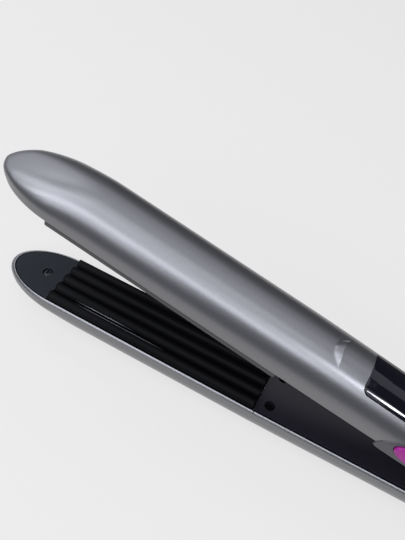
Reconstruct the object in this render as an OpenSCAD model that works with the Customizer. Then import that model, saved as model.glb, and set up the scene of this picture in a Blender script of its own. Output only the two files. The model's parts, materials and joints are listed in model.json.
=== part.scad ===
// Hand-held hair crimper with two sprung arms, ribbed heating plates and a hinge at the rear end.
// X runs from the nose (-X) to the hinge (+X), -Y is the button side and Z is up.
// The origin lies on the rest plane, under the middle of the plates.

/* [Plates] */
// Length of the ribbed heating plates
plate_l = 100; // [80:1:120]
// Distance from each side of an arm to its plate
plate_margin = 1.4; // [1.2:0.1:2.4]
// Distance from one rib to the next
rib_pitch = 5.5; // [4:0.1:8]
// Height from a rib's valley to its crest
rib_depth = 1.6; // [0.8:0.1:2.4]
// Gap between the two plates when the arms are closed
plate_gap = 0.4; // [0.3:0.05:0.8]
// Depth of each plate's back below the closing plane
plate_back = 3.2; // [2.8:0.1:4]
// How far the floating lower plate sinks into its arm
plate_float = 0.8; // [0.4:0.1:1]
// Thickness of the walls along the sides of the upper plate
plate_wall = 0.6; // [0.4:0.05:0.7]
// How far those walls reach past the closing plane
plate_wall_reach = 0.8; // [0.2:0.1:1.2]

/* [Arms] */
// Width of each arm at its rim
arm_w = 27.6; // [27.2:0.2:34]
// Depth of each arm from its rim to its crown
arm_depth = 16.9; // [15.5:0.1:20]
// Distance from each rim to the closing plane
rim_gap = 2.1; // [1.6:0.1:3]
// Angle between the arms at rest
open_angle = 12; // [8:0.5:15]
// Distance from the back of the plates to the hinge axis
handle_l = 131.6; // [115:0.2:150]
// Distance from the front of the plates to the tip
nose_l = 26.2; // [22:0.2:32]
// Depth of the shell at the very tip
tip_depth = 4.4; // [3.6:0.1:6]
// How far the rounded tip reaches ahead of the rim
tip_bulge = 1.5; // [0.6:0.1:2]
// Height over which the crown rounds down to the tip
tip_drop = 2; // [0.5:0.1:2.2]
// Length of the rounding at the tip
tip_round = 10; // [6:0.5:14]
// How far behind the nose the crown starts to fall
crown_run = 16; // [8:1:30]
// Height of the straight side wall above the rim
side_wall_h = 4; // [3:0.1:5]
// How much each arm's half width shrinks from the plates to the hinge
handle_taper = 1.1; // [0:0.1:1.6]
// How much the crown dips halfway along the handle
handle_waist = 1.1; // [0:0.1:2]
// Depth of the flat that the lower arm stands on
rest_flat = 0.3; // [0.2:0.05:0.4]

/* [Walls] */
// Width of the shell wall at the rim
rim_wall = 1.1; // [0.9:0.05:1.4]
// Thickness of the shell wall at the crown
crown_wall = 1.6; // [1.2:0.1:2.2]
// Gap between the shell and what is set into it
groove = 0.4; // [0.3:0.05:0.6]
// Thickness of the nose plates and the handle covers
cover_t = 2.4; // [2:0.1:3]

/* [Screws] */
// Radius of the counterbores over the screws
screw_well_r = 2.2; // [2:0.1:2.5]
// Radius of the screw heads
screw_head_r = 1.9; // [1.6:0.1:1.95]
// Radius of the screw shanks
screw_shank_r = 0.9; // [0.7:0.05:1]
// Length of the screws under their heads
screw_l = 7; // [6:0.5:8]
// Outer radius of the screw bosses
boss_r = 2.6; // [2.2:0.1:3]
// Distance of the nose screws from the plates
nose_screw_x = 8.7; // [7.5:0.1:10]
// Distance of the front cover screws from the plates
cover_screw_x = 5.5; // [4.5:0.1:8]
// Distance of the front cover screws from the middle
cover_screw_y = 7.3; // [6:0.1:7.6]

/* [Control panel] */
// Distance from the plates to the front edge of the panel
panel_x = 25.8; // [24:0.2:30]
// Length of the panel
panel_l = 76; // [66:1:78]
// Width of the panel
panel_w = 18; // [16:0.2:19]
// How far the panel stands proud of the shell
panel_proud = 0.25; // [0.1:0.05:0.4]

/* [Thumb ridge] */
// Distance from the plates to the ridge's steep edge
ridge_x = 14.2; // [12:0.1:16]
// Length of the crescent ridge across the arm
ridge_w = 11; // [8:0.2:12]
// Height of the ridge at its steep edge
ridge_h = 0.7; // [0.4:0.05:1]

/* [Power button] */
// Distance from the plates to the middle of the button
button_x = 55.2; // [54:0.1:58]
// Height of the button's middle above the closing plane
button_z = 5.9; // [5.4:0.1:6.2]
// Length of the button
button_l = 16.6; // [12:0.2:17]
// Height of the button
button_h = 7.8; // [6:0.1:8]
// How far the button moves in
button_travel = 1; // [0.6:0.1:1.2]
// How far the button stands proud of its bezel
button_proud = 0.7; // [0.5:0.05:1]
// Length of the bezel round the button
bezel_l = 28; // [24:0.2:30]
// Gap between the button and its bezel
button_gap = 0.25; // [0.2:0.01:0.35]

/* [Hinge] */
// Radius of the hinge pins
pin_r = 2.5; // [2:0.1:2.8]
// Running clearance between a pin and its bore
pin_play = 0.06; // [0.04:0.01:0.08]
// Width of the lower arm's knuckle
knuckle_w = 14.4; // [14:0.1:15]
// Side gap between the knuckle and the ears
ear_gap = 0.3; // [0.3:0.05:0.5]
// Gap between the round hinge end and the shells
hinge_gap = 0.5; // [0.4:0.05:0.8]
// Radius of the bore that the cord leaves through
cord_r = 3.2; // [2.8:0.1:3.4]
// Radius of the swivel bush that carries the cord
swivel_r = 4.3; // [4.2:0.05:4.5]

/* [Hidden] */
$fn = 48;
eps = 0.01;

// Places along the arms
front_x = -plate_l / 2;
rear_x = plate_l / 2;
hinge_x = rear_x + handle_l;
shell_end = hinge_x - 7;
rest_h = rim_gap + arm_depth - rest_flat;
plate_w = arm_w - 2 * plate_margin;

// Shape of the outside: exponents of the nose outline, the crown line and the cross-section
nose_power = 1.98;
crown_power = 1.67;
bulge_height = 0.7 * side_wall_h;
section_power = [2.5, 1.8];
hinge_power = [4, 4];
hinge_side_h = side_wall_h - 1.5;
squaring_start = 0.6;
arc_steps = 10;
nose_steps = [12, 24, 36, 48, 58, 67, 75, 82, 87];
handle_steps = 12;

// Stack inside an arm, as depths from the closing plane
cover_back = rim_gap + cover_t;
rail_w = 2.9;
rail_t = 2.6;
rail_top = plate_back + plate_float + 0.2;
rail_back = rail_top + rail_t;
tray_w = plate_w - 2 * rail_w - 2 * groove;
tray_l = 0.86 * plate_l;
tray_wall = 0.8;
wing_w = tray_w + 2.4;
wing_top = rail_back + 0.3;
tray_back = wing_top + 1.6;
heater_l = 0.7 * plate_l;
heater_w = tray_w - 6.2;
heater_t = 3.2;
insulator_t = 0.5;
spring_l = 3.4;
spring_r = 2.9;
spring_wire = 0.7;
seat_x = 0.3 * plate_l;
seat_top = tray_back + spring_l;

// Functions of the outside shape. Each takes x along the arm.
function unit(v) = min(max(v, 0), 1);
function nose_part(x, inset) = unit((front_x - x) / (nose_l - inset));
function handle_part(x) = unit((x - rear_x) / handle_l);
function squaring(x) =
    let (s = unit((handle_part(x) - squaring_start) / (1 - squaring_start)))
    s * s * (3 - 2 * s);
function half_w(x, inset) =
    (arm_w / 2 - inset - handle_taper * handle_part(x))
    * pow(1 - pow(nose_part(x, inset), nose_power), 1 / nose_power);
function crown(x) =
    let (fall = unit((front_x + crown_run - x) / (nose_l + crown_run)))
    tip_depth + (arm_depth - tip_depth) * (1 - pow(fall, crown_power))
    - handle_waist * pow(sin(180 * handle_part(x)), 2);
function side_h(x) = side_wall_h + (hinge_side_h - side_wall_h) * handle_part(x);
function power(x, i) = section_power[i] + (hinge_power[i] - section_power[i]) * squaring(x);

// One quarter of the arched section, from the side wall (a = 0) to the crown (a = 90)
function arch(x, a, inset, wall, flat) =
    let (h = crown(x) - wall, z0 = min(side_h(x), h / 2))
    [
        half_w(x, inset) * pow(cos(a), 2 / power(x, 0)),
        min(z0 + (h - z0) * pow(sin(a), 2 / power(x, 1)), arm_depth - wall - flat)
    ];

// Whole section from rim to rim as [x, y, depth] points
function section(x, inset, wall, flat) =
    let (
        half = [for (i = [0 : arc_steps]) arch(x, 90 * i / arc_steps, inset, wall, flat)],
        right = concat([[half_w(x, inset), 0]], half),
        last = len(right) - 1
    )
    concat(
        [for (p = right) [x, p[0], rim_gap + p[1]]],
        [for (i = [1 : last]) [x, -right[last - i][0], rim_gap + right[last - i][1]]]
    );

// Rounding of the outside at the tip: the crown falls and the front swells ahead of the rim
function tip_fall(x) =
    let (near = unit(1 - (x - front_x + nose_l) / tip_round))
    tip_drop * (1 - sqrt(1 - near * near));
function swell(x, z) = tip_bulge * pow(nose_part(x, 0), 3) * sin(90 * unit(z / bulge_height));
function outside(x, flat) = [
    for (p = section(x, 0, tip_fall(x), flat)) [x - swell(x, p[2] - rim_gap), p[1], p[2]]
];

// Stations along an arm, from the hinge end to the tip. An inset skin has a shorter nose.
function stations(inset) = concat(
    [for (i = [handle_steps : -1 : 1]) rear_x + (handle_l - 1) * i / handle_steps],
    [rear_x, front_x + crown_run, front_x + crown_run * 0.6, front_x + crown_run * 0.25, front_x],
    [for (a = nose_steps) front_x - (nose_l - inset) * sin(a)]
);

// Radius of the round hinge end at a distance y from the middle
function hinge_arch(a, grow, limit) =
    let (w = half_w(hinge_x, 0) + (grow > 0 ? hinge_gap : 0))
    [
        min(rim_gap + hinge_side_h
            + (arm_depth - hinge_side_h) * pow(sin(a), 2 / hinge_power[1]), limit) + grow,
        w * pow(cos(a), 2 / hinge_power[0])
    ];
function angle_at(y) =
    acos(pow(min(y / half_w(hinge_x, 0), 1), hinge_power[0] / 2));

// Rib surface of the lower plate above the closing plane. The upper plate follows it.
function rib(y) = rib_depth / 2 * cos(360 * (plate_w / 2 - y) / rib_pitch);
rib_points = 54;
rib_ys = [for (i = [0 : rib_points]) plate_w * (0.5 - i / rib_points)];

// The lower arm lies on its back, the upper arm is turned up about the hinge axis
module lower_arm() {
    translate([0, 0, rest_h]) mirror([0, 0, 1]) children();
}
module upper_arm() {
    translate([hinge_x, 0, rest_h]) rotate([0, open_angle, 0]) translate([-hinge_x, 0, 0]) children();
}

// Building blocks
module span(x, y, z) {
    translate([x[0], y[0], z[0]]) cube([x[1] - x[0], y[1] - y[0], z[1] - z[0]]);
}
module both_sides() {
    children();
    mirror([0, 1, 0]) children();
}
module along_x(x, y, z, r) {
    translate([x[0], y, z]) rotate([0, 90, 0]) cylinder(r = r, h = x[1] - x[0]);
}
module along_y(x, y, z, r) {
    translate([x, y[0], z]) rotate([-90, 0, 0]) cylinder(r = r, h = y[1] - y[0]);
}
module upright(x, y, z, r) {
    translate([x, y, z[0]]) cylinder(r = r, h = z[1] - z[0]);
}
module lead(points, r) {
    for (i = [0 : len(points) - 2]) {
        run = points[i + 1] - points[i];
        translate(points[i]) rotate([0, acos(run[2] / norm(run)), atan2(run[1], run[0])])
            cylinder(r = r, h = norm(run), $fn = 24);
        if (i > 0) translate(points[i]) sphere(r = 1.03 * r, $fn = 24);
    }
}

// Curved hollow skin: an outer and an inner surface joined at the rim and at the hinge end
module hollow_skin(flat) {
    outer_x = stations(0);
    inner_x = stations(rim_wall);
    rows = len(outer_x);
    outer = [for (x = outer_x) outside(x, flat)];
    inner = [for (x = inner_x) section(x, rim_wall, crown_wall, flat)];
    cols = len(outer[0]);
    points = concat([for (s = outer) each s], [for (s = inner) each s]);
    shift = rows * cols;
    function o(i, j) = i * cols + j;
    function n(i, j) = shift + i * cols + j;
    skin = [for (i = [0 : rows - 2], j = [0 : cols - 2]) each [
        [o(i, j), o(i, j + 1), o(i + 1, j + 1)], [o(i, j), o(i + 1, j + 1), o(i + 1, j)],
        [n(i, j), n(i + 1, j + 1), n(i, j + 1)], [n(i, j), n(i + 1, j), n(i + 1, j + 1)]
    ]];
    last = cols - 1;
    rims = [for (i = [0 : rows - 2]) each [
        [o(i, 0), o(i + 1, 0), n(i + 1, 0)], [o(i, 0), n(i + 1, 0), n(i, 0)],
        [o(i, last), n(i + 1, last), o(i + 1, last)], [o(i, last), n(i, last), n(i + 1, last)]
    ]];
    hinge_end = [for (j = [0 : cols - 2]) each [
        [o(0, j), n(0, j), o(0, j + 1)], [n(0, j), n(0, j + 1), o(0, j + 1)]
    ]];
    tip = rows - 1;
    middle = last / 2;
    tip_front = [for (j = [0 : middle - 2]) each [
        [o(tip, j), o(tip, j + 1), o(tip, last - j - 1)],
        [o(tip, j), o(tip, last - j - 1), o(tip, last - j)]
    ]];
    tip_faces = concat(tip_front, [
        [o(tip, middle - 1), o(tip, middle), o(tip, middle + 1)],
        [for (j = [0 : last]) n(tip, last - j)],
        [o(tip, 0), o(tip, last), n(tip, last), n(tip, 0)]
    ]);
    polyhedron(
        points = points,
        faces = concat(skin, rims, hinge_end, tip_faces),
        convexity = 6
    );
}

// Depth of the outside skin at a place on the arch
function skin_depth(x, y) =
    let (h = crown(x), z0 = min(side_h(x), h / 2), part = min(abs(y) / half_w(x, 0), 1))
    rim_gap + z0 + (h - z0) * pow(1 - pow(part, power(x, 0)), 1 / power(x, 1));

// A boss that stands on the inside of the skin and ends at a given depth
module wall_boss(x, y, top, r, bore, bore_end) {
    step = 0.5;
    middle = skin_depth(x, y) - crown_wall / 2;
    slope_x = (skin_depth(x + step, y) - skin_depth(x - step, y)) / (2 * step);
    slope_y = (skin_depth(x, y + step) - skin_depth(x, y - step)) / (2 * step);
    difference() {
        upright(x, y, [top, middle + 2 * r], r);
        translate([x, y, middle]) rotate([atan(slope_y), -atan(slope_x), 0])
            translate([-4 * r, -4 * r, 0]) cube([8 * r, 8 * r, 6 * r]);
        if (bore > 0) upright(x, y, [top - 1, bore_end], bore);
    }
}

// Round hinge end, turned about the hinge axis from the arms' own section
module hinge_turned(points) {
    translate([hinge_x, 0, 0]) rotate([-90, 0, 0]) rotate_extrude($fn = 96) polygon(points);
}
module hinge_clearance() {
    side = [for (i = [0 : arc_steps]) hinge_arch(90 * i / arc_steps, hinge_gap, 2 * arm_depth)];
    back = [for (i = [1 : arc_steps]) let (p = side[arc_steps - i]) [p[0], -p[1]]];
    reach = side[0][1] + arm_w;
    hinge_turned(concat(
        [[0, reach], [side[0][0], reach]], side, back, [[side[0][0], -reach], [0, -reach]]
    ));
}

// Screw places: [x, y, depth of the seat, depth of the boss top]
deep_seat = rim_gap + 5;
shallow_seat = rim_gap + 1.5;
floor_t = cover_back - shallow_seat;
block_l = 30;
bar_l = 9.8;
block_front = hinge_x - block_l;
rear_screw_x = block_front + bar_l / 2;
nose_screw = [front_x - nose_screw_x, 0];
cover_screws = [for (s = [-1, 1]) [rear_x + cover_screw_x, s * cover_screw_y]];
rear_screws = [for (s = [-1, 1]) [rear_screw_x, s * cover_screw_y]];
rear_screw_l = screw_l + 4;
screw_head_t = 1.4;
pilot_r = screw_shank_r + 0.05;

module screw(place, seat, shank_l) {
    difference() {
        union() {
            upright(place[0], place[1], [seat - screw_head_t, seat], screw_head_r);
            upright(place[0], place[1], [seat - eps, seat + shank_l], screw_shank_r);
        }
        for (turn = [0, 90])
            translate([place[0], place[1], seat - screw_head_t]) rotate([0, 0, turn + 30])
                cube([screw_head_r * 1.3, 0.5, 1.5], center = true);
    }
}
module screws() {
    screw(nose_screw, shallow_seat, screw_l);
    for (p = cover_screws) screw(p, deep_seat, screw_l);
    for (p = rear_screws) screw(p, shallow_seat, rear_screw_l);
}
module screw_well(place, seat) {
    upright(place[0], place[1], [rim_gap - 1, seat], screw_well_r);
    upright(place[0], place[1], [seat - 1, seat + 2 * floor_t], pilot_r);
}

// Shells
module shell(flat) {
    difference() {
        hollow_skin(flat);
        hinge_clearance();
        span([shell_end, hinge_x + arm_w], [-arm_w, arm_w], [0, 2 * arm_depth]);
    }
    wall_boss(nose_screw[0], nose_screw[1], cover_back, boss_r, pilot_r, shallow_seat + screw_l + 0.5);
    for (p = cover_screws)
        wall_boss(p[0], p[1], deep_seat + floor_t, boss_r, pilot_r, deep_seat + screw_l + 0.5);
    for (p = rear_screws)
        wall_boss(p[0], p[1], block_back, boss_r, pilot_r, shallow_seat + rear_screw_l + 0.5);
    for (s = [-1, 1]) wall_boss(s * seat_x, 0, seat_top, spring_r, 0, 0);
}

module lower_shell() {
    color("silver") lower_arm() difference() {
        shell(rest_flat);
        both_sides() span([rear_x + 0.75, rear_x + 1.05], [arm_w / 2 - rim_wall - groove, arm_w],
            [0, rim_gap + 0.8]);
    }
}
module upper_shell() {
    color("silver") upper_arm() {
        difference() {
            shell(0);
            translate([0, 0, panel_floor - 2]) linear_extrude(arm_depth) panel_outline(panel_play);
            bezel_prism(bezel_play);
        }
        thumb_ridge();
    }
}

// Crescent ridge for the thumb: steep towards the handle, sloping towards the nose
module thumb_ridge() {
    edge = rear_x + ridge_x;
    steep_r = 1.5 * ridge_w;
    front_r = 0.55 * ridge_w;
    top_r = 22;
    slope = 17;
    top = skin_depth(edge, 0) + ridge_h;
    intersection() {
        difference() {
            upright(edge + front_r - 3, 0, [top - ridge_h - 1.2, top + 1], front_r);
            upright(edge + steep_r, 0, [top - 5, top + 5], steep_r);
        }
        translate([edge, 0, top]) rotate([0, 90 - slope, 0]) translate([top_r, 0, -2 * ridge_w])
            cylinder(r = top_r, h = 4 * ridge_w, $fn = 96);
    }
}

// Frames: a nose plate and the two rails that carry the heating plate
fit = 0.2;
rail_out = plate_w / 2 - fit;
bar_back = rail_back + 1.4;
lead_y = 1.3;
lead_r = 0.8;
lead_z = cover_back + lead_r + 0.15;
lead_slot = lead_y + lead_r + 0.4;
module frame(rail_from) {
    inset = rim_wall + groove;
    front = front_x - fit;
    side = concat(
        [[front, half_w(front, inset)]],
        [for (a = nose_steps) let (x = front_x - (nose_l - inset) * sin(a)) [x, half_w(x, inset)]]
    );
    last = len(side) - 1;
    difference() {
        union() {
            translate([0, 0, rim_gap]) linear_extrude(cover_t)
                polygon(concat(side, [for (i = [0 : last]) [side[last - i][0], -side[last - i][1]]]));
            span([front_x - 4, front_x - 0.5], [-rail_out, rail_out], [cover_back - eps, rail_back]);
            both_sides() span([front_x - 4, rear_x + 2], [rail_out - rail_w, rail_out],
                [rail_from, rail_back]);
            span([rear_x + 0.5, rear_x + 2], [-rail_out, rail_out], [cover_back, bar_back]);
        }
        screw_well(nose_screw, shallow_seat);
        both_sides() span([rear_x - fit, rear_x + 3], [rail_out - rail_w - 1, rail_out + 1],
            [rim_gap, cover_back]);
        span([rear_x, rear_x + 3], [-lead_slot, lead_slot], [rim_gap, lead_z + lead_r + 0.6]);
    }
}
module lower_frame() {
    color("darkslategray") lower_arm() frame(rail_top);
}
module upper_frame() {
    color("darkslategray") upper_arm() frame(plate_back);
}

// Ribbed heating plates. The upper one has side walls that close round the lower one.
plate_half = plate_w / 2;
wall_gap = 0.2;
wall_in = plate_half + wall_gap;
wall_out = wall_in + plate_wall;
wall_back = rim_gap - 0.2;
function ribs(side) = [for (y = rib_ys) [y, plate_gap / 2 - side * rib(y)]];
module plate_bar(profile) {
    translate([front_x, 0, 0]) rotate([90, 0, 90]) linear_extrude(plate_l) polygon(profile);
}
module lower_plate() {
    color("black") lower_arm()
        plate_bar(concat(ribs(1), [[-plate_half, plate_back], [plate_half, plate_back]]));
}
module upper_plate() {
    line = ribs(-1);
    color("black") upper_arm() plate_bar(concat(line, [
        [-wall_in, line[rib_points][1]], [-wall_in, -plate_wall_reach],
        [-wall_out, -plate_wall_reach], [-wall_out, wall_back],
        [-plate_half, wall_back], [-plate_half, plate_back],
        [plate_half, plate_back], [plate_half, wall_back],
        [wall_out, wall_back], [wall_out, -plate_wall_reach],
        [wall_in, -plate_wall_reach], [wall_in, line[0][1]]
    ]));
}

// Heaters behind the plates
heater_back = plate_back + heater_t;
insulator_back = heater_back + insulator_t;
lead_start = heater_l / 2 + 0.5;
module heater() {
    span([-heater_l / 2, heater_l / 2], [-heater_w / 2, heater_w / 2], [plate_back, heater_back]);
}
module insulator() {
    span([-lead_start, lead_start], [-heater_w / 2 - 1, heater_w / 2 + 1],
        [heater_back, insulator_back]);
}
module heater_tray() {
    half = tray_w / 2;
    difference() {
        union() {
            span([-tray_l / 2, tray_l / 2], [-half, half], [plate_back, tray_back]);
            for (s = [-1, 1])
                span([s * seat_x - 8, s * seat_x + 8], [-wing_w / 2, wing_w / 2], [wing_top, tray_back]);
        }
        span([-tray_l / 2 + tray_wall, tray_l / 2 - tray_wall], [-half + tray_wall, half - tray_wall],
            [plate_back - 1, insulator_back]);
        span([tray_l / 2 - 2, tray_l / 2 + 1], [-lead_slot, lead_slot], [plate_back - 1, insulator_back]);
    }
}
module lower_heater() {
    color("goldenrod") lower_arm() heater();
}
module upper_heater() {
    color("goldenrod") upper_arm() heater();
}
module lower_insulator() {
    color("tan") lower_arm() insulator();
}
module upper_insulator() {
    color("tan") upper_arm() insulator();
}
module lower_heater_tray() {
    color("lightgray") lower_arm() heater_tray();
}
module upper_heater_tray() {
    color("lightgray") upper_arm() heater_tray();
}

// What holds each tray off its shell: springs below, fixed posts above
module lower_plate_springs() {
    color("gainsboro") lower_arm() for (s = [-1, 1]) difference() {
        upright(s * seat_x, 0, [tray_back, seat_top], spring_r);
        upright(s * seat_x, 0, [tray_back - 1, seat_top + 1], spring_r - spring_wire);
    }
}
module upper_plate_posts() {
    color("white") upper_arm() for (s = [-1, 1])
        upright(s * seat_x, 0, [tray_back, seat_top], spring_r);
}

// Protection and sensing, bonded to the back of each tray
fuse_r = 1.3;
fuse_l = 9;
sensor_r = 1;
module lower_thermal_fuse() {
    color("darkgray") lower_arm() along_x([4, 4 + fuse_l], 4, tray_back + fuse_r, fuse_r);
}
module upper_temperature_sensor() {
    color("orange") upper_arm() union() {
        along_x([4, 10], 4, tray_back + sensor_r, sensor_r);
        span([3, 5.5], [2, 6], [tray_back, tray_back + 0.6]);
    }
}

// Handle covers on the inner faces
cover_half_front = half_w(rear_x, rim_wall + groove);
cover_half_rear = half_w(hinge_x, rim_wall + groove);
cover_front = rear_x + fit;
module handle_cover() {
    difference() {
        union() {
            translate([0, 0, rim_gap]) linear_extrude(cover_t) polygon([
                [cover_front, -cover_half_front], [hinge_x, -cover_half_rear],
                [hinge_x, cover_half_rear], [cover_front, cover_half_front]
            ]);
            for (p = cover_screws)
                upright(p[0], p[1], [cover_back - eps, deep_seat + floor_t], screw_well_r + 0.8);
        }
        for (p = cover_screws) screw_well(p, deep_seat);
        for (p = rear_screws) screw_well(p, shallow_seat);
        hinge_clearance();
    }
}
module lower_handle_cover() {
    color("dimgray") lower_arm() handle_cover();
}
module upper_handle_cover() {
    color("dimgray") upper_arm() difference() {
        union() {
            handle_cover();
            for (x = board_posts, y = [-post_y, post_y])
                upright(x, y, [cover_back - eps, board_inner], post_r);
        }
        for (notch = [[housing_l, housing_in], [bezel_l, side_y - bezel_wall]])
            span([button_mid - notch[0] / 2 - fit, button_mid + notch[0] / 2 + fit],
                [-arm_w, fit - notch[1]], [0, cover_back + 1]);
    }
}

module lower_screws() {
    color("gray") lower_arm() screws();
}
module upper_screws() {
    color("gray") upper_arm() screws();
}

// Leads from each heater: the lower ones end in the knuckle, the upper ones on the board
lead_end = hinge_x - 6;
lead_bend = rear_x + 5;
module lower_leads() {
    color("white") lower_arm() both_sides()
        lead([[lead_start, lead_y, lead_z], [lead_end, lead_y, channel_z]], lead_r);
}
module upper_leads() {
    lead_rise = board_front - 4;
    color("white") upper_arm() both_sides() lead([
        [lead_start, lead_y, lead_z], [lead_bend, lead_y, lead_z],
        [lead_rise, lead_y, board_inner + board_t / 2],
        [board_front, lead_y, board_inner + board_t / 2]
    ], lead_r);
}

// Control panel: a gloss lid let into the back of the upper handle
panel_front = rear_x + panel_x;
panel_floor = 13.4;
panel_play = 0.15;
panel_corner = 2.5;
panel_rim = 1.5;
module panel_outline(grow) {
    r = panel_corner + grow;
    x0 = panel_front - grow;
    x1 = panel_front + panel_l + grow;
    w = panel_w / 2 + grow;
    corner_steps = 5;
    quarter = [for (i = [0 : corner_steps]) 90 * i / corner_steps];
    polygon(concat(
        [for (a = quarter) [x0 + r - r * cos(a), w - r + r * sin(a)]],
        [for (a = quarter) [x1 - r + r * sin(a), w - r + r * cos(a)]],
        [for (a = quarter) [x1 - r + r * cos(a), -w + r - r * sin(a)]],
        [for (a = quarter) [x0 + r - r * sin(a), -w + r - r * cos(a)]]
    ));
}
module panel_body() {
    rows = 10;
    cols = 12;
    margin = 1;
    x0 = panel_front - margin;
    reach = panel_l + 2 * margin;
    top = [for (i = [0 : rows], j = [0 : cols])
        let (x = x0 + reach * i / rows, y = (panel_w / 2 + margin) * (2 * j / cols - 1))
        [x, y, skin_depth(x, y) + panel_proud]];
    floor_points = [for (p = top) [p[0], p[1], panel_floor]];
    count = len(top);
    function t(i, j) = i * (cols + 1) + j;
    function b(i, j) = count + t(i, j);
    faces = concat(
        [for (i = [0 : rows - 1], j = [0 : cols - 1]) each [
            [t(i, j), t(i + 1, j + 1), t(i + 1, j)], [t(i, j), t(i, j + 1), t(i + 1, j + 1)],
            [b(i, j), b(i + 1, j), b(i + 1, j + 1)], [b(i, j), b(i + 1, j + 1), b(i, j + 1)]
        ]],
        [for (i = [0 : rows - 1]) each [
            [t(i, 0), t(i + 1, 0), b(i + 1, 0)], [t(i, 0), b(i + 1, 0), b(i, 0)],
            [t(i, cols), b(i + 1, cols), t(i + 1, cols)], [t(i, cols), b(i, cols), b(i + 1, cols)]
        ]],
        [for (j = [0 : cols - 1]) each [
            [t(0, j), b(0, j + 1), t(0, j + 1)], [t(0, j), b(0, j), b(0, j + 1)],
            [t(rows, j), t(rows, j + 1), b(rows, j + 1)], [t(rows, j), b(rows, j + 1), b(rows, j)]
        ]]
    );
    polyhedron(points = concat(top, floor_points), faces = faces, convexity = 4);
}
module control_panel() {
    color([0.07, 0.07, 0.1]) upper_arm() difference() {
        union() {
            intersection() {
                panel_body();
                translate([0, 0, panel_floor - 1]) linear_extrude(arm_depth) panel_outline(0);
            }
            for (x = [panel_front - 1.6, panel_front + panel_l - 1.4]) span([x, x + 3], [-3, 3],
                [panel_floor, skin_depth(x, 3) - crown_wall - 0.6]);
        }
        for (step = [[panel_rim, 1.5], [panel_rim + 2, 2.6]])
            span([panel_front + step[0], panel_front + panel_l - step[0]],
                [-panel_w / 2 + step[0], panel_w / 2 - step[0]], [panel_floor - 1, panel_floor + step[1]]);
    }
}

// Control board and what stands on it
board_front = rear_x + 14;
board_l = 62;
board_w = 16;
board_t = 1.6;
board_inner = cover_back + 4.4;
board_outer = board_inner + board_t;
board_posts = [board_front + 4, board_front + board_l - 4];
post_y = 6;
post_r = 1.6;
module control_board() {
    color("seagreen") upper_arm()
        span([board_front, board_front + board_l], [-board_w / 2, board_w / 2], [board_inner, board_outer]);
}
capacitor_r = 2.1;
module board_capacitor() {
    color("navy") upper_arm()
        along_x([board_front + 38, board_front + 50], 4.2, board_inner - capacitor_r, capacitor_r);
}
module board_triac() {
    color([0.15, 0.15, 0.15]) upper_arm() union() {
        span([board_front + 20, board_front + 28], [2, 7], [board_inner - 3, board_inner]);
        span([board_front + 16, board_front + 20], [2.5, 6.5], [board_inner - 0.8, board_inner]);
    }
}
module board_controller() {
    color([0.1, 0.1, 0.1]) upper_arm()
        span([board_front + 30, board_front + 38], [-4, 1], [board_outer, board_outer + 1.2]);
}
led_x = rear_x + panel_x + 12;
led_r = 1.5;
led_h = 1.6;
module indicator_led() {
    color("red") upper_arm() union() {
        upright(led_x, 0, [board_outer, board_outer + led_h], led_r);
        translate([led_x, 0, board_outer + led_h]) sphere(r = led_r);
    }
}

// Power button in its bezel on the near side of the upper arm
button_mid = rear_x + button_x;
side_y = half_w(button_mid, 0);
bezel_mid_z = 1.2;
bezel_top = 10;
bezel_drop = 2.1;
bezel_play = 0.1;
bezel_proud = 0.3;
bezel_wall = 1.9;
housing_l = 22;
flange_t = 0.8;
housing_wall = 0.8;
housing_in = side_y - bezel_wall - flange_t - button_travel - housing_wall - 0.4;
flange_half = housing_l / 2 - 1.6;
grip_gap = 0.5;
grip_pitch = 1.3;
stem_r = 1.5;
stem_z = button_z + 0.3;
switch_y = 8.6;
oval_steps = 24;
function oval(a, half_l, up, down) = [half_l * cos(a), (sin(a) > 0 ? up : down) * sin(a)];

// Profile of the near wall, grown outwards, as [y, depth] points from below the rim to the crown
module wall_profile(out, low) {
    side = [for (i = [0 : 2 : 2 * arc_steps]) let (
        a = 66 * i / (2 * arc_steps), p = arch(button_mid, a, 0, 0, -arm_depth)
    ) [-p[0] - out * cos(a), rim_gap + p[1] + out * sin(a)]];
    rotate([90, 0, 90]) translate([0, 0, button_mid - arm_w]) linear_extrude(2 * arm_w)
        polygon(concat(
            [[0, low], [-side_y - out + 0.6, low], [-side_y - out, low + 0.9]], side,
            [[0, side[len(side) - 1][1]]]
        ));
}
module oval_prism(grow, half_l, mid_z, up, down, from_y) {
    translate([button_mid, 0, mid_z]) rotate([90, 0, 0]) translate([0, 0, from_y])
        linear_extrude(arm_w) polygon([for (i = [0 : oval_steps - 1])
            oval(360 * i / oval_steps, half_l + grow, up + grow, down + grow)]);
}
module bezel_prism(grow) {
    oval_prism(grow, bezel_l / 2, bezel_mid_z, bezel_top, bezel_drop, side_y - 3.2);
}
module button_bezel() {
    inner = side_y - bezel_wall;
    color("silver") upper_arm() difference() {
        union() {
            intersection() {
                bezel_prism(0);
                difference() {
                    wall_profile(bezel_proud, bezel_mid_z - bezel_drop);
                    wall_profile(-bezel_wall, -arm_w);
                }
            }
            span([button_mid - housing_l / 2, button_mid + housing_l / 2], [-inner - 0.5, -housing_in],
                [0.2, cover_back]);
        }
        oval_prism(button_gap, button_l / 2, button_z, button_h / 2, button_h / 2, 0);
        span([button_mid - housing_l / 2 + 1, button_mid + housing_l / 2 - 1],
            [-inner, -housing_in - housing_wall], [1.4, arm_depth]);
    }
}
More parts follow.
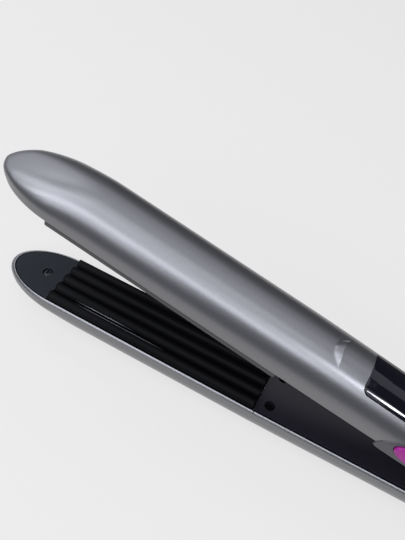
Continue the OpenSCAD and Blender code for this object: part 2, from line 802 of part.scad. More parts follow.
module power_button() {
    inner = side_y - bezel_wall;
    flange_y = inner - 0.2;
    front_y = side_y + bezel_proud + button_proud;
    stem_end = switch_y + 0.3 + button_travel;
    color("mediumvioletred") upper_arm() union() {
        difference() {
            intersection() {
                oval_prism(0, button_l / 2, button_z, button_h / 2, button_h / 2, flange_y - eps);
                wall_profile(bezel_proud + button_proud, -arm_w);
            }
            for (i = [-2 : 2]) let (x = button_mid + grip_pitch * i)
                span([x - grip_gap / 2, x + grip_gap / 2], [-front_y - 1, 0.3 - front_y],
                    [button_z - button_h / 3, button_z + button_h / 3]);
        }
        span([button_mid - flange_half, button_mid + flange_half],
            [-flange_y, flange_t - flange_y], [button_z - 3, button_z + 3]);
        along_y(button_mid, [flange_t - eps - flange_y, -stem_end], stem_z, stem_r);
    }
}
module push_switch() {
    color([0.2, 0.2, 0.22]) upper_arm() union() {
        span([button_mid - 3, button_mid + 3], [0.4 - switch_y, 4 - switch_y],
            [cover_back + 0.5, board_inner]);
        along_y(button_mid, [-switch_y, 0.5 - switch_y], stem_z, 1);
    }
}

// Hinge: the lower arm's knuckle turns between the two ears of the upper arm's yoke
knuckle_half = knuckle_w / 2;
ear_y = knuckle_half + ear_gap;
hinge_half = half_w(hinge_x, 0);
block_t = 7;
block_back = cover_back + block_t;
bar_half = half_w(hinge_x, rim_wall) - 1;
channel_r = 2.6;
channel_z = cover_back + block_t / 2;
tongue_half = knuckle_half - 0.4;
cap_r = 5.5;
cap_t = 0.7;
cap_sink = 0.6;
cap_step = 0.6;
pin_in = 3.6;
pin_out = hinge_half - cap_sink;
swivel_l = 16;
swivel_play = 0.08;
swivel_front = hinge_x + 6.4;
chamber_front = hinge_x + 6.2;
chamber_back = hinge_x + 9.4;
chamber_r = 5.9;
clip_t = 0.9;
clip_x = chamber_back - 0.2 - clip_t;
collar_start = hinge_x + arm_depth + rim_gap + 0.2 - swivel_front;
collar_r = swivel_r + 1.2;
clip_groove = 0.5;
spring_in = 3.1;
spring_out = 5.4;
spring_room = 0.3;
spring_depth = 2.8;
module lower_hinge_block() {
    a = angle_at(knuckle_half);
    side = [for (i = [0 : arc_steps]) hinge_arch(a + (90 - a) * i / arc_steps, 0, rest_h)];
    color("darkslategray") lower_arm() difference() {
        union() {
            hinge_turned(concat([[0, knuckle_half]], side,
                [for (i = [1 : arc_steps]) let (p = side[arc_steps - i]) [p[0], -p[1]]],
                [[0, -knuckle_half]]));
            span([block_front, hinge_x], [-tongue_half, tongue_half], [cover_back, block_back]);
            span([block_front, block_front + bar_l], [-bar_half, bar_half], [cover_back, block_back]);
        }
        both_sides() along_y(hinge_x, [pin_in - 0.2, knuckle_half + 1], 0, pin_r + pin_play);
        both_sides() along_y(hinge_x, [knuckle_half - spring_depth, knuckle_half + 1], 0,
            spring_out + spring_room);
        along_x([block_front - 1, hinge_x - 4.5], 0, channel_z, channel_r);
        span([hinge_x - 8, hinge_x - 4], [0.3 - channel_r, channel_r - 0.3], [0, channel_z]);
        along_x([hinge_x - 7.5, chamber_front + 1], 0, 0, channel_r);
        along_x([chamber_front, chamber_back], 0, 0, chamber_r);
        along_x([chamber_back - 1, hinge_x + arm_depth + rim_gap + 1], 0, 0, swivel_r + swivel_play);
        for (p = rear_screws) upright(p[0], p[1], [cover_back - 1, block_back + 1], screw_shank_r + 0.2);
    }
}
module upper_hinge_yoke() {
    a = angle_at(ear_y);
    ear = [for (i = [0 : arc_steps]) hinge_arch(a * i / arc_steps, 0, 2 * arm_depth)];
    color("darkslategray") upper_arm() difference() {
        union() {
            both_sides() {
                hinge_turned(concat([[0, hinge_half]], ear, [[0, ear_y]]));
                span([block_front, hinge_x], [ear_y + 0.4, bar_half], [cover_back, block_back]);
            }
            span([block_front, block_front + bar_l], [-bar_half, bar_half], [cover_back, block_back]);
        }
        both_sides() along_y(hinge_x, [ear_y - 1, pin_out], 0, pin_r + 0.02);
        both_sides() along_y(hinge_x, [pin_out, hinge_half + 1], 0, cap_r + 0.1);
        for (p = rear_screws) upright(p[0], p[1], [cover_back - 1, block_back + 1], screw_shank_r + 0.2);
    }
}
module hinge_pins() {
    color("gainsboro") upper_arm() both_sides() along_y(hinge_x, [pin_in, pin_out], 0, pin_r);
}
module hinge_caps() {
    color("dimgray") upper_arm() both_sides() union() {
        along_y(hinge_x, [pin_out, hinge_half], 0, cap_r);
        along_y(hinge_x, [hinge_half - eps, pin_out + cap_t], 0, cap_r - cap_step);
    }
}
module torsion_springs() {
    color("lightsteelblue") lower_arm() both_sides() difference() {
        along_y(hinge_x, [knuckle_half - spring_depth + 0.1, knuckle_half - 0.1], 0, spring_out);
        along_y(hinge_x, [0, knuckle_half + 1], 0, spring_in);
    }
}

// Swivel bush that the cord passes through, with its retaining clip
module cord_swivel() {
    groove_start = clip_x - swivel_front;
    translate([0, 0, rest_h]) color([0.12, 0.12, 0.13]) translate([swivel_front, 0, 0]) rotate([0, 90, 0])
        rotate_extrude($fn = 64) polygon([
            [cord_r, 0], [swivel_r, 0], [swivel_r, groove_start],
            [swivel_r - clip_groove, groove_start],
            [swivel_r - clip_groove, groove_start + clip_t], [swivel_r, groove_start + clip_t],
            [swivel_r, collar_start], [collar_r, collar_start],
            [collar_r, swivel_l - 1], [collar_r - 0.7, swivel_l], [cord_r, swivel_l]
        ]);
}
module swivel_clip() {
    color("gainsboro") translate([clip_x + 0.05, 0, rest_h]) rotate([0, 90, 0]) difference() {
        cylinder(r = chamber_r - 0.4, h = clip_t - 0.1);
        translate([0, 0, -1]) cylinder(r = swivel_r - clip_groove + 0.05, h = clip_t + 2);
    }
}

lower_shell();
lower_frame();
lower_plate();
lower_heater();
lower_heater_tray();
lower_insulator();
lower_plate_springs();
lower_thermal_fuse();
lower_handle_cover();
lower_screws();
lower_leads();
upper_shell();
upper_frame();
upper_plate();
upper_heater();
upper_heater_tray();
upper_insulator();
upper_plate_posts();
upper_temperature_sensor();
upper_handle_cover();
upper_screws();
upper_leads();
control_panel();
control_board();
board_capacitor();
board_triac();
board_controller();
indicator_led();
push_switch();
button_bezel();
power_button();
lower_hinge_block();
upper_hinge_yoke();
hinge_pins();
hinge_caps();
torsion_springs();
cord_swivel();
swivel_clip();
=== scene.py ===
import json
import math

import bmesh
import bpy
import numpy as np
from mathutils import Matrix, Vector

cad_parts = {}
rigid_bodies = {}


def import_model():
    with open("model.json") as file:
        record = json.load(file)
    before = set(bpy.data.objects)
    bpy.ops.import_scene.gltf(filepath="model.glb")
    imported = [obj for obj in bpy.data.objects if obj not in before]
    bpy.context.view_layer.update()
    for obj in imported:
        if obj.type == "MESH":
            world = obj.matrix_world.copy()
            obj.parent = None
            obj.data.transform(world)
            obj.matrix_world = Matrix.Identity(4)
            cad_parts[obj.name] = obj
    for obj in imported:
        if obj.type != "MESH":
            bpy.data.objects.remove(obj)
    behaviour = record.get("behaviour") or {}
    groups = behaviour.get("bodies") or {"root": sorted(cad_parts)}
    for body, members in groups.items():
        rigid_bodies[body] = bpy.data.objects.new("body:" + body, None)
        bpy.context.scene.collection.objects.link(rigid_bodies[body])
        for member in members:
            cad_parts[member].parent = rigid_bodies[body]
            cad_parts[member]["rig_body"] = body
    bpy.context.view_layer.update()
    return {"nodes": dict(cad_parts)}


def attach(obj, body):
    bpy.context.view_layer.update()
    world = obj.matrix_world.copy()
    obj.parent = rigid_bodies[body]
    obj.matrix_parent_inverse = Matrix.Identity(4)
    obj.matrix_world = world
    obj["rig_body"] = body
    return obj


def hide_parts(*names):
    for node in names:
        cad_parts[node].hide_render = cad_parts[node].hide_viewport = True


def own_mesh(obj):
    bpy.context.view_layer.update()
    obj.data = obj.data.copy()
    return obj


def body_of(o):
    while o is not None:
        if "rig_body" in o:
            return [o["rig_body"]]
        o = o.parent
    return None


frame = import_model()
nodes = frame["nodes"]


# Camera: fitted to the outlines of both arms and the plates' corners. It stands beside the
# nose on the button side and looks down along the arms.
camera_place = Vector((0.06196, -0.12788, 0.22552))
camera_turn = {"azimuth": 20.44, "elevation": 49.36, "roll": 10.17}
camera_lens = 39.03


def direction(azimuth, elevation):
    a, e = math.radians(azimuth), math.radians(elevation)
    return Vector((math.sin(a) * math.cos(e), -math.cos(a) * math.cos(e), math.sin(e)))


def camera_axes(azimuth, elevation, roll):
    back = direction(azimuth, elevation)
    right = Vector((0, 0, 1)).cross(back).normalized()
    up = back.cross(right)
    r = math.radians(roll)
    return (
        math.cos(r) * right + math.sin(r) * up,
        math.cos(r) * up - math.sin(r) * right,
        back,
    )


def linked(name, data):
    item = bpy.data.objects.new(name, data)
    bpy.context.scene.collection.objects.link(item)
    return item


camera_data = bpy.data.cameras.new("camera")
camera_data.lens = camera_lens
camera_data.sensor_width = 36
camera_data.clip_start = 0.01
camera = linked("camera", camera_data)
turn = Matrix(camera_axes(**camera_turn)).transposed().to_4x4()
camera.matrix_world = Matrix.Translation(camera_place) @ turn
bpy.context.scene.camera = camera


# Arms: both are the same half-round tube with a pointed nose. Points of an arm are written as
# x along the arm, y across it and depth away from the plane on which the two arms close.
plate_length = 0.1
arm_width = 0.0276
arm_depth = 0.0169
rim_gap = 0.0021
handle_length = 0.1316
nose_length = 0.0262
nose_power = 1.98
tip_depth = 0.0044
crown_run = 0.016
crown_power = 1.67
side_wall_height = 0.004
side_fall = 0.0015
handle_taper = 0.0011
handle_waist = 0.0011
rest_flat = 0.0003
rim_wall = 0.0011
crown_wall = 0.0016
groove = 0.0004
open_angle = math.radians(12)
front_x = -plate_length / 2
rear_x = plate_length / 2
hinge_x = rear_x + handle_length
rest_height = rim_gap + arm_depth - rest_flat


def unit(v):
    return min(max(v, 0.0), 1.0)


def nose_part(x, inset):
    return unit((front_x - x) / (nose_length - inset))


def handle_part(x):
    return unit((x - rear_x) / handle_length)


def squaring(x):
    s = unit((handle_part(x) - 0.6) / 0.4)
    return s * s * (3 - 2 * s)


def half_width(x, inset=0.0):
    straight = arm_width / 2 - inset - handle_taper * handle_part(x)
    return straight * (1 - nose_part(x, inset) ** nose_power) ** (1 / nose_power)


def crown(x):
    fall = unit((front_x + crown_run - x) / (nose_length + crown_run))
    dip = handle_waist * math.sin(math.pi * handle_part(x)) ** 2
    return tip_depth + (arm_depth - tip_depth) * (1 - fall**crown_power) - dip


def side_height(x):
    return side_wall_height - side_fall * handle_part(x)


def arch_powers(x):
    # Round over the plates, squarer towards the hinge
    return 2.5 + 1.5 * squaring(x), 1.8 + 2.2 * squaring(x)


def arch_point(x, angle, inset, wall, flat):
    across, upward = arch_powers(x)
    height = crown(x) - wall
    foot = min(side_height(x), height / 2)
    y = half_width(x, inset) * np.maximum(np.cos(angle), 0) ** (2 / across)
    z = foot + (height - foot) * np.sin(angle) ** (2 / upward)
    return y, rim_gap + np.minimum(z, arm_depth - wall - flat)


def skin_depth(x, y):
    across, upward = arch_powers(x)
    foot = min(side_height(x), crown(x) / 2)
    part = min(abs(y) / half_width(x), 1.0)
    return rim_gap + foot + (crown(x) - foot) * (1 - part**across) ** (1 / upward)


def on_arm(arm, x, y, depth):
    if arm == "lower":
        return (x, y, rest_height - depth)
    reach = x - hinge_x
    return (
        hinge_x + reach * math.cos(open_angle) + depth * math.sin(open_angle),
        y,
        rest_height - reach * math.sin(open_angle) + depth * math.cos(open_angle),
    )


def shade(mesh, sharp, merge=True):
    bm = bmesh.new()
    bm.from_mesh(mesh)
    if merge:
        bmesh.ops.remove_doubles(bm, verts=bm.verts, dist=1e-6)
        bmesh.ops.dissolve_degenerate(bm, edges=bm.edges, dist=1e-7)
        bmesh.ops.recalc_face_normals(bm, faces=bm.faces)
    for edge in bm.edges:
        edge.smooth = len(edge.link_faces) == 2 and edge.calc_face_angle(0) < math.radians(sharp)
    for face in bm.faces:
        face.smooth = True
    bm.to_mesh(mesh)
    bm.free()


def closed_piece(name, points, faces, sharp=30):
    mesh = bpy.data.meshes.new(name)
    mesh.from_pydata(points, [], faces)
    shade(mesh, sharp)
    return linked(name, mesh)


def ring_faces(rings, count, closed=False):
    faces = []
    for i in range(rings if closed else rings - 1):
        n = (i + 1) % rings
        for j in range(count):
            k = (j + 1) % count
            faces.append((i * count + j, i * count + k, n * count + k, n * count + j))
    return faces


def end_faces(rings, count):
    first = (rings - 1) * count
    return [tuple(range(count)), tuple(range(first + count - 1, first - 1, -1))]


def new_finish(name, colour, roughness, metallic=0.0, coat=0.0, gloss=0.5):
    material = bpy.data.materials.new(name)
    material.use_nodes = True
    shader = material.node_tree.nodes["Principled BSDF"]
    shader.inputs["Base Color"].default_value = (*colour, 1)
    shader.inputs["Roughness"].default_value = roughness
    shader.inputs["Metallic"].default_value = metallic
    shader.inputs["Specular IOR Level"].default_value = gloss
    shader.inputs["Coat Weight"].default_value = coat
    shader.inputs["Coat Roughness"].default_value = 0.12
    return material


def object_noise(material, scale, detail=3.0, stretch=(1, 1, 1)):
    tree = material.node_tree
    place = tree.nodes.new("ShaderNodeTexCoord")
    mapping = tree.nodes.new("ShaderNodeMapping")
    mapping.inputs["Scale"].default_value = stretch
    noise = tree.nodes.new("ShaderNodeTexNoise")
    noise.inputs["Scale"].default_value = scale
    noise.inputs["Detail"].default_value = detail
    tree.links.new(place.outputs["Object"], mapping.inputs["Vector"])
    tree.links.new(mapping.outputs["Vector"], noise.inputs["Vector"])
    return noise.outputs["Fac"]


def add_bump(material, height, strength, distance):
    tree = material.node_tree
    bump = tree.nodes.new("ShaderNodeBump")
    bump.inputs["Strength"].default_value = strength
    bump.inputs["Distance"].default_value = distance
    tree.links.new(height, bump.inputs["Height"])
    tree.links.new(bump.outputs["Normal"], tree.nodes["Principled BSDF"].inputs["Normal"])


def vary(material, fac, socket, low, high):
    tree = material.node_tree
    colours = isinstance(low, tuple)
    mix = tree.nodes.new("ShaderNodeMix")
    mix.data_type = "RGBA" if colours else "FLOAT"
    first, second = (i for i in mix.inputs if i.enabled and i.name in ("A", "B"))
    first.default_value = (*low, 1) if colours else low
    second.default_value = (*high, 1) if colours else high
    tree.links.new(fac, next(i for i in mix.inputs if i.enabled and i.name == "Factor"))
    result = next(o for o in mix.outputs if o.enabled)
    tree.links.new(result, tree.nodes["Principled BSDF"].inputs[socket])


def grain(material, scale, strength, distance, detail=3.0, stretch=(1, 1, 1)):
    add_bump(material, object_noise(material, scale, detail, stretch), strength, distance)


def mottle(material, scale, detail, socket, low, high):
    vary(material, object_noise(material, scale, detail), socket, low, high)


def dress(piece, material, body, slot, *replaced):
    piece.data.materials.clear()
    piece.data.materials.append(material)
    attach(piece, body)
    if replaced:
        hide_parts(*replaced)


def baked(piece):
    bpy.context.view_layer.update()
    depsgraph = bpy.context.evaluated_depsgraph_get()
    mesh = bpy.data.meshes.new_from_object(piece.evaluated_get(depsgraph))
    piece.modifiers.clear()
    old, piece.data = piece.data, mesh
    bpy.data.meshes.remove(old)
    mesh.name = piece.name
    return piece


def cut(piece, *cutters):
    for cutter in cutters:
        modifier = piece.modifiers.new("cut", "BOOLEAN")
        modifier.solver = "EXACT"
        modifier.object = cutter
    baked(piece)
    shade(piece.data, 40, merge=False)
    for cutter in cutters:
        bpy.data.objects.remove(cutter)
    return piece


def round_edges(piece, width, segments=3, limit=40):
    bevel = piece.modifiers.new("edges", "BEVEL")
    bevel.width = width
    bevel.segments = segments
    bevel.limit_method = "ANGLE"
    bevel.angle_limit = math.radians(limit)
    bevel.harden_normals = True
    return baked(piece)


def box_mesh(name, arm, x, y, depth):
    corners = [on_arm(arm, px, py, d) for px in x for py in y for d in depth]
    faces = [(0, 1, 3, 2), (4, 6, 7, 5), (0, 4, 5, 1), (2, 3, 7, 6), (0, 2, 6, 4), (1, 5, 7, 3)]
    return closed_piece(name, corners, faces)


# Shells: two mouldings in satin silver lacquer, 1.1 mm thick at the rim, each one surface from
# the pointed nose to the round hinge end. The upper one has a crescent ridge for the thumb.
shell_end = hinge_x - 0.007
end_start = hinge_x - 0.03
hinge_gap = 0.0005
skin_columns = 96
grid_step = 0.0005
tip_bulge = 0.0015
tip_drop = 0.002
tip_round = 0.01
rim_bevels = {"lower": 0.00085, "upper": 0.0005}
rim_round = 0.00015
rim_lift = 0.0001
rim_points = 8
ridge_edge = rear_x + 0.0136
ridge_middle = -0.0009
ridge_half = 0.0056
ridge_reach = 0.0027
ridge_bow = 0.0014
ridge_height = 0.0015
ridge_run = 0.011
ridge_side = 0.008
ridge_level = 0.003
ridge_ease = 0.007


def tip_fall(x):
    near = unit(1 - (x - front_x + nose_length) / tip_round)
    return tip_drop * (1 - math.sqrt(1 - near * near))


def swell(x, depth):
    part = np.clip((depth - rim_gap) / (0.7 * side_wall_height), 0, 1)
    return tip_bulge * nose_part(x, 0) ** 3 * np.sin(math.pi / 2 * part)


def skin_curve(x, inset, wall, flat, start):
    y, depth = arch_point(x, np.linspace(0, math.pi / 2, 160), inset, wall, flat)
    side = np.vstack([[y[0], rim_gap + start], np.column_stack([y, depth])])
    whole = np.vstack([side * (-1, 1), side[-2::-1]])
    length = np.concatenate([[0], np.cumsum(np.hypot(*np.diff(whole, axis=0).T))])
    at = np.linspace(0, length[-1], skin_columns + 1)
    return np.column_stack([np.interp(at, length, whole[:, i]) for i in (0, 1)])


def shell_stations():
    nose = [math.sin(math.radians(a)) for a in np.linspace(90, 0, 41)]
    outer = [front_x - nose_length * s for s in nose]
    inner = [front_x - (nose_length - rim_wall) * s for s in nose]
    body = list(np.linspace(front_x, front_x + crown_run, 15)[1:])
    body += list(np.linspace(front_x + crown_run, ridge_edge - 0.009, 60)[1:])
    near = np.concatenate([
        np.linspace(-0.0085, -0.0036, 7), np.linspace(-0.0033, -0.0003, 11),
        [-0.00012, 0, 0.0001, 0.0002, 0.00035, 0.0007], np.linspace(0.0012, 0.009, 8),
    ])
    body += [ridge_edge + d for d in near]
    body += list(np.linspace(ridge_edge + 0.0105, end_start, 40))
    return list(zip(outer, inner)) + [(x, x) for x in body]


def ridge_rise(ahead, y):
    across = np.clip((y - ridge_middle) / ridge_half, -1, 1)
    reach = 0.0001 + ridge_reach * (1 - across**2) ** 0.75
    slope = np.where(ahead > -1e-9, np.maximum(1 - ahead / reach, 0), 0)
    return ridge_height * slope**0.65 * (1 - across**4)


def shell_mesh(name, arm, flat):
    bevel = rim_bevels[arm]
    walls = ((0, 0, flat, bevel + rim_lift), (rim_wall, crown_wall, flat, rim_round))
    grid = np.arange(rear_x, hinge_x, grid_step)
    table = [np.array([skin_curve(x, *wall) for x in grid]) for wall in walls]
    columns = np.arange(skin_columns + 1)

    def at(side, x):
        step = np.clip((x - grid[0]) / grid_step, 0, len(grid) - 1.001)
        low = step.astype(int)
        part = (step - low)[:, None]
        curves = table[side]
        return (1 - part) * curves[low, columns] + part * curves[low + 1, columns]

    def hinge_stop(side):
        stop = np.full(skin_columns + 1, shell_end)
        foot = rim_gap + side_wall_height - side_fall
        for _ in range(6):
            y, depth = at(side, stop).T
            arch = 1 - np.minimum(np.abs(y) / (half_width(hinge_x) + hinge_gap), 1) ** 4
            reach = (foot + (rim_gap + arm_depth - foot) * arch**0.25 + hinge_gap) ** 2 - depth**2
            stop = np.minimum(shell_end, hinge_x - np.sqrt(np.maximum(reach, 0)))
        return stop

    def rim(outer, inner):
        # A flat bevel outside and a small round inside, as (way inwards, depth)
        slant = [(0, bevel + rim_lift), (0.00004, bevel - 0.00006), (bevel - 0.00016, 0.00014),
                 (bevel - 0.00004, 0.00004), (bevel + rim_lift, 0)]
        slant += [(rim_wall - rim_round * (1 - math.sin(t)), rim_round * (1 - math.cos(t)))
                  for t in np.radians((30, 60, 90))]
        return [
            (outer[0] + (inner[0] - outer[0]) * s / rim_wall,
             outer[1] + (inner[1] - outer[1]) * s / rim_wall, rim_gap + d)
            for s, d in slant
        ]

    def ring(skins):
        outer, inner = skins
        first = rim(outer[0], inner[0])[::-1]
        last = rim(outer[-1], inner[-1])
        return first + [tuple(p) for p in outer[1:-1]] + last + [tuple(p) for p in inner[-2:0:-1]]

    rings = []
    for pair in shell_stations():
        skins = []
        for side in (0, 1):
            x = np.full(skin_columns + 1, pair[side])
            curve = skin_curve(pair[side], *walls[side])
            if side == 0 and pair[0] < front_x:
                curve = skin_curve(pair[0], 0, tip_fall(pair[0]), flat, bevel + rim_lift)
                x = x - swell(pair[0], curve[:, 1])
            ahead = ridge_edge - pair[0]
            if arm == "upper" and side == 0 and abs(ahead) < ridge_run:
                away = np.minimum(np.abs(curve[:, 0] - ridge_middle), ridge_side)
                bow = ridge_bow * (away / ridge_half) ** 2
                x = x + bow * max(0, 1 - max(abs(ahead) - ridge_level, 0) / ridge_ease)
                curve = at(0, x)
                curve[:, 1] += ridge_rise(ahead, curve[:, 0])
            skins.append(np.column_stack([x, curve]))
        rings.append(ring(skins))
    stops = [hinge_stop(side) for side in (0, 1)]
    for part in np.linspace(0, 1, 22)[1:]:
        skins = []
        for side in (0, 1):
            x = end_start + (stops[side] - end_start) * part
            skins.append(np.column_stack([x, at(side, x)]))
        rings.append(ring(skins))
    count = len(rings[0])
    points = [on_arm(arm, *p) for line in rings for p in line]
    faces = ring_faces(len(rings), count)
    base = (len(rings) - 1) * count
    far = rim_points + skin_columns - 1
    faces.append([base + j for j in range(rim_points + 1)] + [base + count - 1])
    faces.append([base + j for j in range(far - 1, far + rim_points + 1)])
    for j in range(skin_columns - 2):
        a, b = base + rim_points + j, base + count - 1 - j
        faces.append((a, a + 1, b - 1, b))
    return closed_piece(name, points, faces, 50)


def silver_lacquer(name, colour, roughness):
    material = new_finish(name, colour, roughness, metallic=0.9)
    flakes = object_noise(material, 3000, 2)
    add_bump(material, flakes, 0.05, 0.0001)
    darker, lighter = (tuple(share * c for c in colour) for share in (0.86, 1.14))
    vary(material, flakes, "Base Color", darker, lighter)
    return material


shell_silver = silver_lacquer("silver_lacquer", (0.2, 0.2, 0.207), 0.33)
lower_skin = shell_mesh("lower_skin", "lower", rest_flat)
notch_x = (rear_x + 0.00075, rear_x + 0.00105)
notch_depth = (0, rim_gap + 0.0008)
for side in (-1, 1):
    notch_y = sorted((side * (arm_width / 2 - rim_wall - groove), side * arm_width))
    cut(lower_skin, box_mesh("notch", "lower", notch_x, notch_y, notch_depth))
dress(lower_skin, shell_silver, "lower_arm", "shell_silver", "lower_shell")
upper_skin = shell_mesh("upper_skin", "upper", 0)
dress(upper_skin, shell_silver, "upper_arm", "shell_silver", "upper_shell")


# Shell bosses: seven posts moulded inside each shell and left in bare grey. One takes the nose
# screw, four the cover's screws, and two carry the plate's springs or its fixed posts.
seat_x = 0.03
seat_top = 0.0121
seat_radius = 0.0029
seat_hole = 0.0005
cover_back = 0.0045
nose_screw_x = front_x - 0.0087
front_screw_x = rear_x + 0.0055
rear_screw_x = hinge_x - 0.0251
screw_y = 0.0073
shallow_seat = rim_gap + 0.0015
deep_seat = rim_gap + 0.005
short_shank = 0.007
long_shank = 0.011
screw_places = [(nose_screw_x, 0.0, shallow_seat, short_shank)]
screw_places += [(front_screw_x, y, deep_seat, short_shank) for y in (screw_y, -screw_y)]
screw_places += [(rear_screw_x, y, shallow_seat, long_shank) for y in (screw_y, -screw_y)]
boss_tops = (cover_back, 0.0101, 0.0101, 0.0115, 0.0115)
boss_radius = 0.0026
pilot_radius = 0.00095
boss_sunk = 0.0008
least_boss = 0.0004


def full_turn(count):
    return [2 * math.pi * i / count for i in range(count)]


def tube_on_arm(arm, x, y, top, bottom, outer, inner):
    rings = ((outer, top), (outer, bottom), (inner, bottom), (inner, top))
    points = [on_arm(arm, x + r * math.cos(a), y + r * math.sin(a), depth)
              for r, depth in rings for a in full_turn(40)]
    return points, ring_faces(len(rings), 40, closed=True)


moulding_grey = new_finish("moulding_grey", (0.09, 0.09, 0.095), 0.6)
grain(moulding_grey, 1800, 0.25, 0.00005)
for arm in ("lower", "upper"):
    points, faces = [], []
    posts = [(*p[:2], top, boss_radius, pilot_radius) for p, top in zip(screw_places, boss_tops)]
    posts += [(s * seat_x, 0.0, seat_top, seat_radius, seat_hole) for s in (-1, 1)]
    for x, y, top, outer, inner in posts:
        near_x = (x - boss_radius, x + boss_radius)
        foot = min(skin_depth(px, abs(y) + boss_radius) for px in near_x) - boss_sunk
        ring, sides = tube_on_arm(arm, x, y, top, max(foot, top + least_boss), outer, inner)
        faces += [tuple(i + len(points) for i in f) for f in sides]
        points += ring
    bosses = closed_piece(f"{arm}_bosses", points, faces)
    dress(round_edges(bosses, 0.00015, 2), moulding_grey, f"{arm}_arm", "shell_silver")


# Nose frames: dark slate plates that close the pointed noses, with the two rails the heating
# plates sit between. One screw holds each, in a counterbore ahead of the plate.
fit = 0.0002
plate_width = 0.0248
plate_back = 0.0032
rail_out = plate_width / 2 - fit
rail_width = 0.0029
rail_back = 0.0068
rail_end = rear_x + 0.0019
frame_front = front_x - 0.004
frame_round = 0.0002
lip_top = 0.0044
bar_back = 0.0082
lead_slot = 0.0025
slot_back = 0.0072
cover_hook = (0.0083, 0.0134)
well_radius = 0.0022
pilot_depths = (0.0028, 0.01)


def prism(arm, name, outline, top, back):
    count = len(outline)
    points = [on_arm(arm, x, y, d) for d in (top, back) for x, y in outline]
    return closed_piece(name, points, end_faces(2, count) + ring_faces(2, count), 25)


def drill(arm, x, y, top, back, radius):
    circle = [(x + radius * math.cos(a), y + radius * math.sin(a))
              for a in np.linspace(0, 2 * math.pi, 49)[:-1]]
    return prism(arm, "drill", circle, top, back)


def together(name, parts):
    bm = bmesh.new()
    for part in parts:
        bm.from_mesh(part.data)
        bpy.data.objects.remove(part)
    mesh = bpy.data.meshes.new(name)
    bm.to_mesh(mesh)
    bm.free()
    return linked(name, mesh)


def nose_plate(arm):
    inset = rim_wall + groove
    side = [(front_x - fit, half_width(front_x - fit, inset))]
    for a in np.linspace(0.02, math.pi / 2, 46):
        x = front_x - (nose_length - inset) * math.sin(a)
        side.append((x, half_width(x, inset)))
    piece = prism(arm, "nose", side + [(x, -y) for x, y in side[-2::-1]], rim_gap, cover_back)
    well = drill(arm, nose_screw_x, 0, 0, shallow_seat, well_radius)
    pilot = drill(arm, nose_screw_x, 0, *pilot_depths, pilot_radius)
    return round_edges(cut(piece, well, pilot), 0.00022, 3, 35)


def nose_frame(arm, rail_from):
    width = (-rail_out, rail_out)
    past_bar = (rear_x - 0.001, rear_x + 0.003)
    lip = box_mesh("lip", arm, (frame_front, front_x - 0.0005), width, (lip_top, rail_back))
    bar = box_mesh("bar", arm, (rear_x + 0.0005, rear_x + 0.002), width, (cover_back, bar_back))
    cut(bar, box_mesh("slot", arm, past_bar, (-lead_slot, lead_slot), (0, slot_back)))
    parts = [nose_plate(arm), round_edges(lip, frame_round), round_edges(bar, frame_round)]
    for s in (-1, 1):
        rail_y = sorted((s * (rail_out - rail_width), s * rail_out))
        rail = box_mesh("rail", arm, (frame_front, rail_end), rail_y, (rail_from, rail_back))
        if rail_from < cover_back:
            gap_x, gap_y = (rear_x - fit, past_bar[1]), sorted(s * y for y in cover_hook)
            cut(rail, box_mesh("gap", arm, gap_x, gap_y, (0, cover_back)))
        parts.append(round_edges(rail, frame_round))
    return together(f"{arm}_nose_frame", parts)


slate = new_finish("slate_grain", (0.0078, 0.0102, 0.013), 0.45, gloss=0.13)
grain(slate, 3200, 0.2, 0.00006, 2)
mottle(slate, 90, 4, "Roughness", 0.4, 0.54)
for arm, rail_from in (("lower", 0.0042), ("upper", plate_back)):
    dress(nose_frame(arm, rail_from), slate, f"{arm}_arm", "frame_slate", f"{arm}_frame")


# Heating plates: ribbed along their length, coated gloss black. The lower one floats on
# springs and its ribs lie in the valleys of the upper one, whose side walls cover both when the
# arms close.
rib_pitch = 0.0055
rib_depth = 0.0016
plate_gap = 0.0004
wall_thickness = 0.0006
wall_gap = 0.0002
wall_reach = 0.0008
wall_back = rim_gap - 0.0002
wall_soft = 0.00018
plate_edge = 0.0002
face_depth = 0.0015


def rib(y):
    return rib_depth / 2 * math.cos(2 * math.pi * (plate_width / 2 - y) / rib_pitch)


def side_wall(edge_depth):
    inner = plate_width / 2 + wall_gap
    outer = inner + wall_thickness
    corner = 0.3 * wall_soft
    return [(outer, wall_back), (outer, wall_soft - wall_reach),
            (outer - corner, corner - wall_reach), (outer - wall_soft, -wall_reach),
            (inner + wall_soft, -wall_reach), (inner + corner, corner - wall_reach),
            (inner, wall_soft - wall_reach), (inner, edge_depth)]


def ribbed_plate(arm, side):
    half = plate_width / 2
    edge = plate_edge if side > 0 else 0.0
    front = []
    for y in np.linspace(half, -half, 109):
        drop = edge * (1 - min((half - abs(y)) / plate_edge, 1.0)) ** 2
        front.append((y, plate_gap / 2 - side * rib(y) + drop))
    back = [(-half, plate_back), (half, plate_back)]
    if side < 0:
        wall = side_wall(front[0][1])
        front = wall + front + [(-y, depth) for y, depth in wall[::-1]]
        back = [(-half, wall_back), *back, (half, wall_back)]
    ends = [(0.0, 0.00042), (0.00012, 0.00018), (0.0003, 0.00005), (0.00055, 0.0)]
    stations = [(front_x + a, d) for a, d in ends] + [(rear_x - a, d) for a, d in reversed(ends)]
    points = []
    for x, drop in stations:
        points += [on_arm(arm, x, y, d + (drop if d < face_depth else 0)) for y, d in front]
        points += [on_arm(arm, x, y, depth) for y, depth in back]
    count = len(front) + len(back)
    faces = ring_faces(len(stations), count) + end_faces(len(stations), count)
    return closed_piece(f"{arm}_ribbed_plate", points, faces, 35)


